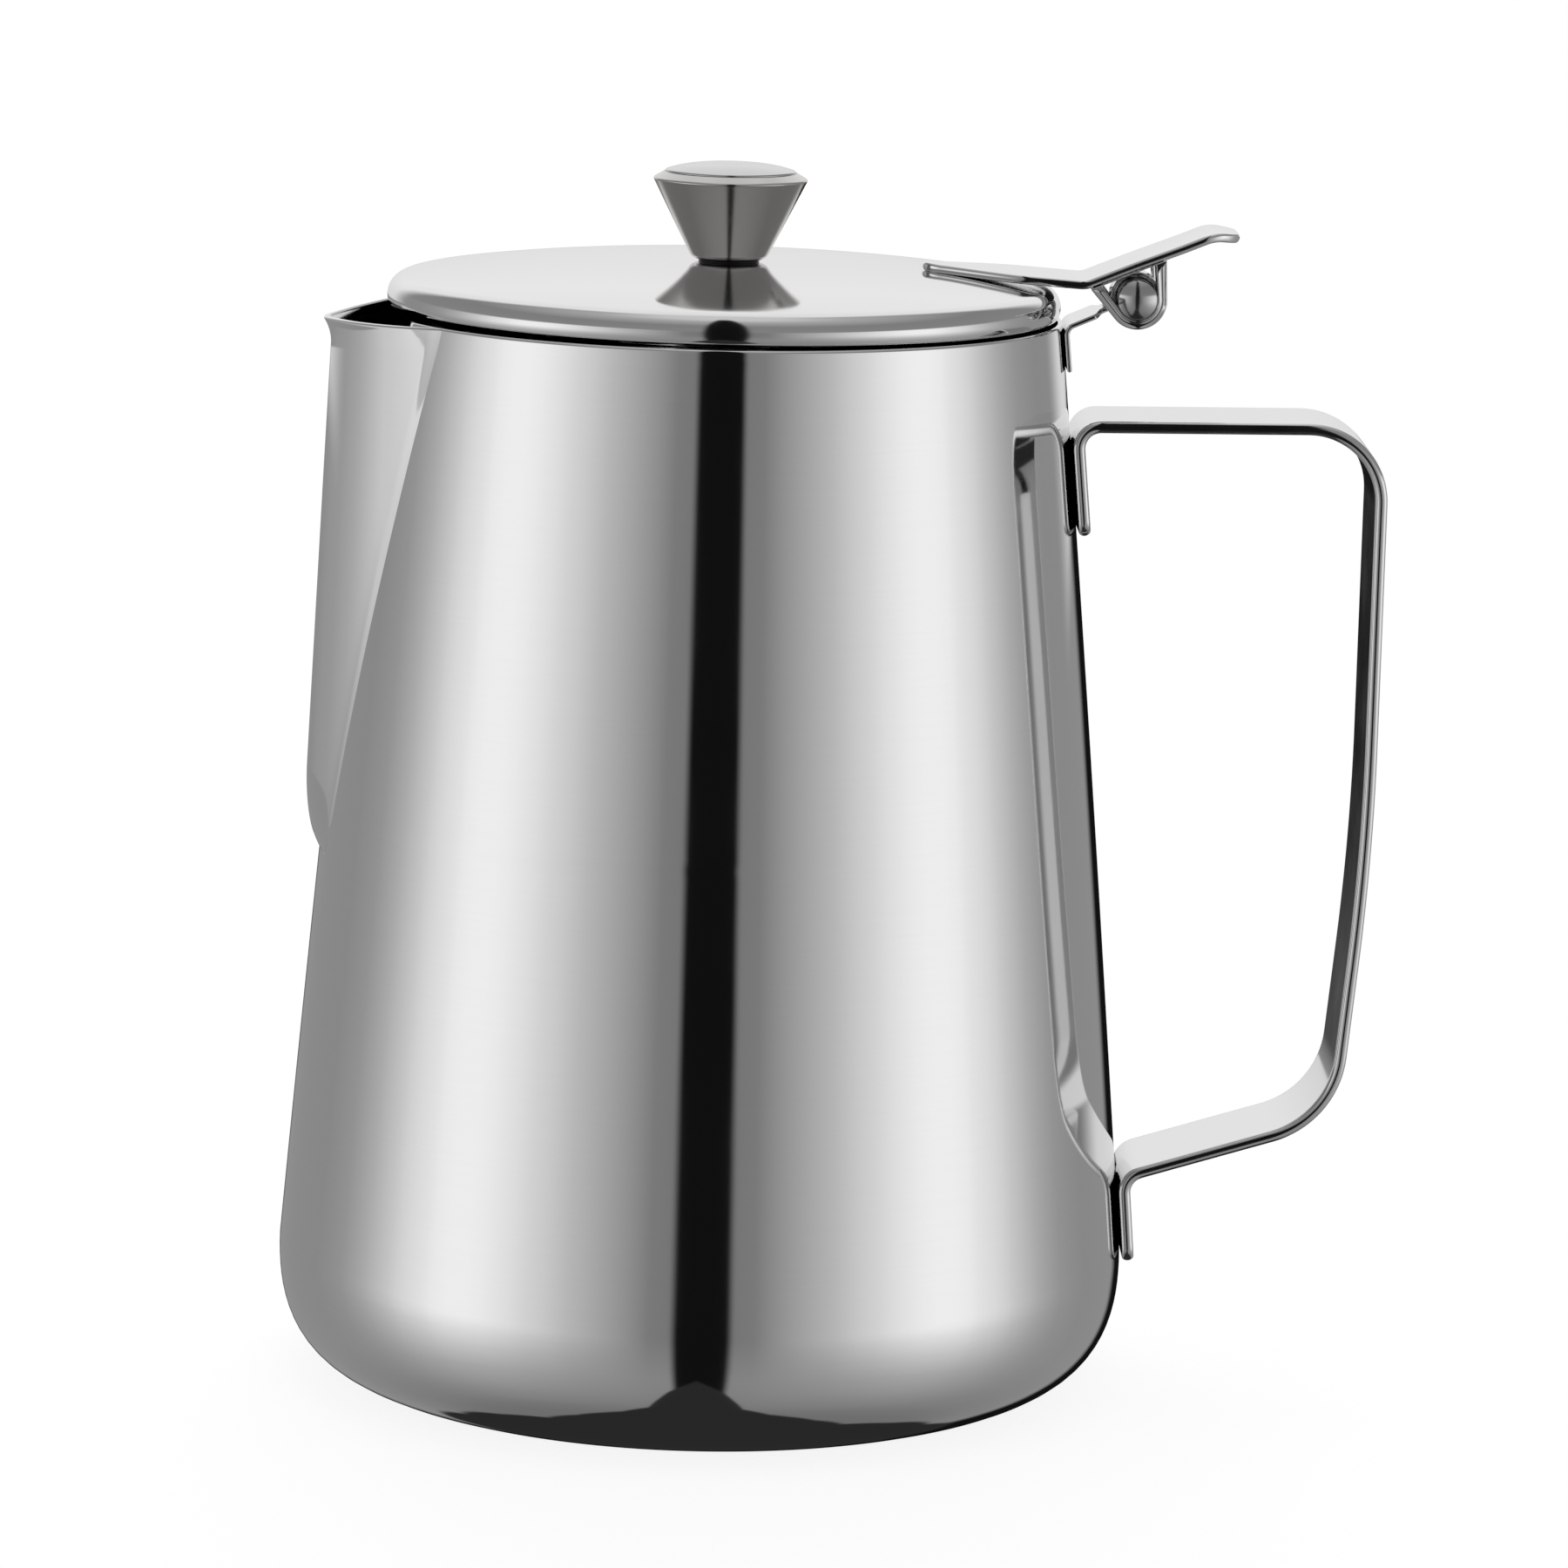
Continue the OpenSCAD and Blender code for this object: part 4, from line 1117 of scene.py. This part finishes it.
        def step(value: bpy.types.NodeSocket, span: Span) -> bpy.types.NodeSocket:
            """A smooth step of a socket over a span."""
            node = ranged(value, span)
            node.interpolation_type = "SMOOTHSTEP"
            return node.outputs["Result"]

        def blend(share: bpy.types.NodeSocket, low: float | bpy.types.NodeSocket,
                  high: float | bpy.types.NodeSocket) -> bpy.types.NodeSocket:
            """Mixes two numbers or sockets: low + (high - low) share."""
            return math_node("ADD", low, math_node("MULTIPLY", share, math_node("SUBTRACT", high, low)))

        def curve(value: bpy.types.NodeSocket, span: Span, stops: Stops,
                  scale: float = 1.0) -> bpy.types.NodeSocket:
            """A curve through (degrees, number) stops, read at a socket that runs over a span."""
            ramp = nodes.new("ShaderNodeValToRGB")
            fill_ramp(ramp, stops, *span, scale)
            links.new(ranged(value, span).outputs["Result"], ramp.inputs["Fac"])
            return math_node("MULTIPLY", ramp.outputs["Color"], scale)

        split = nodes.new("ShaderNodeSeparateXYZ")
        links.new(nodes.new("ShaderNodeTexCoord").outputs["Generated"], split.inputs[0])
        x, y, z = split.outputs
        signed = math_node("ARCTAN2", x, math_node("MULTIPLY", y, -1.0))
        turn = math_node("ABSOLUTE", math_node("SUBTRACT", signed, math.radians(self.ring_middle)))
        level = math_node("ARCSINE", z)
        ring = curve(turn, (0, 180), self.ring, self.ring_scale)
        low_light = curve(level, (-90, 0), self.low_light)
        fade = curve(level, (-60, 0), self.fade)
        lit = math_node("ADD", low_light, math_node("MULTIPLY", fade, math_node("SUBTRACT", ring, self.dim)))
        lit = blend(step(level, self.front_high_level), lit, curve(level, (0, 90), self.front_high))
        boxes = math_node("MULTIPLY", step(turn, self.boxes_turn), step(signed, self.boxes_right))
        boxes = math_node("MULTIPLY", boxes, step(signed, self.boxes_left))
        boxes = math_node("MAXIMUM", boxes, step(level, self.roof_level))
        lit = blend(boxes, self.strip_light, lit)
        behind = math_node("MULTIPLY", step(turn, self.back_high_turn), step(level, self.back_high_level))
        lit = blend(behind, lit, curve(level, (-10, 90), self.back_high))
        edge = curve(math_node("ABSOLUTE", signed), (0, 180), self.table, 90.0)
        over = math_node("ADD", level, math_node("MULTIPLY", edge, math.radians(1)))
        total = blend(step(over, self.above_table), self.table_light, lit)
        seen = nodes.new("ShaderNodeLightPath").outputs["Is Camera Ray"]
        background = nodes.new("ShaderNodeBackground")
        links.new(blend(seen, total, 1.0), background.inputs["Color"])
        output = nodes.new("ShaderNodeOutputWorld")
        links.new(background.outputs[0], output.inputs["Surface"])

    def spout_box(self, spout: bpy.types.Object) -> None:
        """Stands a soft box at the back that lights the spout alone, brighter towards its camera side.

        The photograph's spout mirrors a brighter part of the studio than the wall beside it does.

        Args:
            spout: The spout.
        """
        wide, high = self.box_size
        data = bpy.data.lights.new("spout_box", "AREA")
        data.shape = "RECTANGLE"
        data.size, data.size_y = wide, high
        data.energy = self.box_light * math.pi * wide * high
        data.use_nodes = True
        nodes, links = data.node_tree.nodes, data.node_tree.links
        across = nodes.new("ShaderNodeSeparateXYZ")
        ramp = nodes.new("ShaderNodeValToRGB")
        fill_ramp(ramp, self.box_ramp)
        links.new(nodes.new("ShaderNodeNewGeometry").outputs["Parametric"], across.inputs[0])
        links.new(across.outputs[0], ramp.inputs["Fac"])
        links.new(ramp.outputs["Color"], nodes["Emission"].inputs["Color"])
        out = Vector((math.sin(self.box_turn), -math.cos(self.box_turn), 0.0))
        up = Vector((0.0, 0.0, 1.0))
        middle = Vector((*self.flank_middle, self.box_low + high / 2)) + out * self.box_far
        box = bpy.data.objects.new("spout_box", data)
        box.matrix_world = Matrix.Translation(middle) @ Matrix((up.cross(out), up, out)).transposed().to_4x4()
        box.visible_camera = False
        bpy.context.scene.collection.objects.link(box)
        lit = bpy.data.collections.new("lit_by_spout_box")
        lit.objects.link(spout)
        box.light_linking.receiver_collection = lit

    def floor(self) -> None:
        """Lays the pale floor, which glows so that it meets the white and the jug's shadow stays faint."""
        half = self.floor_half
        corners = [(-half, -half, 0), (half, -half, 0), (half, half, 0), (-half, half, 0)]
        mesh = bpy.data.meshes.new("pale_floor")
        mesh.from_pydata(corners, [], [(0, 1, 2, 3)])
        floor = bpy.data.objects.new("pale_floor", mesh)
        bpy.context.scene.collection.objects.link(floor)
        material = bpy.data.materials.new("pale_floor")
        material.use_nodes = True
        nodes, links = material.node_tree.nodes, material.node_tree.links
        nodes.clear()
        paint = nodes.new("ShaderNodeBsdfDiffuse")
        paint.inputs["Color"].default_value = (self.floor_paint, self.floor_paint, self.floor_paint, 1)
        own = nodes.new("ShaderNodeEmission")
        own.inputs["Strength"].default_value = self.floor_glow
        both = nodes.new("ShaderNodeAddShader")
        clear = nodes.new("ShaderNodeBsdfTransparent")
        rays = nodes.new("ShaderNodeLightPath")
        pick_own = nodes.new("ShaderNodeMixShader")
        pick = nodes.new("ShaderNodeMixShader")
        links.new(paint.outputs[0], both.inputs[0])
        links.new(own.outputs[0], both.inputs[1])
        links.new(rays.outputs["Is Camera Ray"], pick_own.inputs[0])
        links.new(paint.outputs[0], pick_own.inputs[1])
        links.new(both.outputs[0], pick_own.inputs[2])
        links.new(rays.outputs["Is Glossy Ray"], pick.inputs[0])
        links.new(pick_own.outputs[0], pick.inputs[1])
        links.new(clear.outputs[0], pick.inputs[2])
        output = nodes.new("ShaderNodeOutputMaterial")
        links.new(pick.outputs[0], output.inputs["Surface"])
        mesh.materials.append(material)


def dress_node(node: str, material: bpy.types.Material) -> None:
    """Gives a construction node that stays visible its finish."""
    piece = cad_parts[node]
    piece.data.materials.clear()
    piece.data.materials.append(material)
    log.info("%s keeps its construction shape", node)


def main() -> None:
    """Builds the jug piece by piece, then the studio."""
    logging.basicConfig(level=logging.INFO, format="%(message)s")
    bpy.context.scene.view_settings.view_transform = "Standard"
    pot = Pot()
    dress(pot.build(), "jug", POT_STEEL.material(), "pot_steel", "body")
    spout = Spout(pot).build()
    dress(spout, "jug", POT_STEEL.material(), "pot_steel", "spout")
    dress(StrapHandle(pot).build(), "jug", STRAP_STEEL.material(), "strap_steel", "handle")
    lid = Lid(pot)
    dress(lid.cover(), "lid", LID_STEEL.material(), "lid_steel", "lid_cover")
    dress(lid.plug_ring(), "lid", LID_STEEL.material(), "lid_steel", "lid_ring")
    knob = Knob(lid.top_h, lid.set_over + lid.knob_set)
    # The neck ring's near-black colour is painted contact shade under the knob
    dress(knob.neck(), "lid", contact_shade_ring_material(), "neck_ring", "neck_washer")
    dress(knob.cone(), "lid", KNOB_STEEL.material(), "knob_steel", "knob_cone")
    dress(knob.cap(), "lid", CAP_STEEL.material(), "cap_steel", "knob_cap")
    hinge = Hinge(pot, lid)
    dress(hinge.pin(), "jug", PIN_STEEL.material(), "pin_steel", "hinge_pin")
    dress(hinge.bracket(), "jug", LEVER_STEEL.material(), "strap_steel", "hinge_bracket")
    near, far = hinge.ear(-1), hinge.ear(1)
    dress(near, "lid", LEVER_STEEL.material(), "strap_steel", "hinge_loop")
    dress(far, "lid", LEVER_STEEL.material(), "strap_steel")
    dress(hinge.lever(), "lid", LEVER_STEEL.material(), "strap_steel", "thumb_lever")
    for node in ("knob_screw", "screw_washer"):
        dress_node(node, PIN_STEEL.material())
    studio = Studio()
    studio.camera()
    studio.world()
    studio.spout_box(spout)
    studio.floor()


if __name__ == "__main__":
    main()
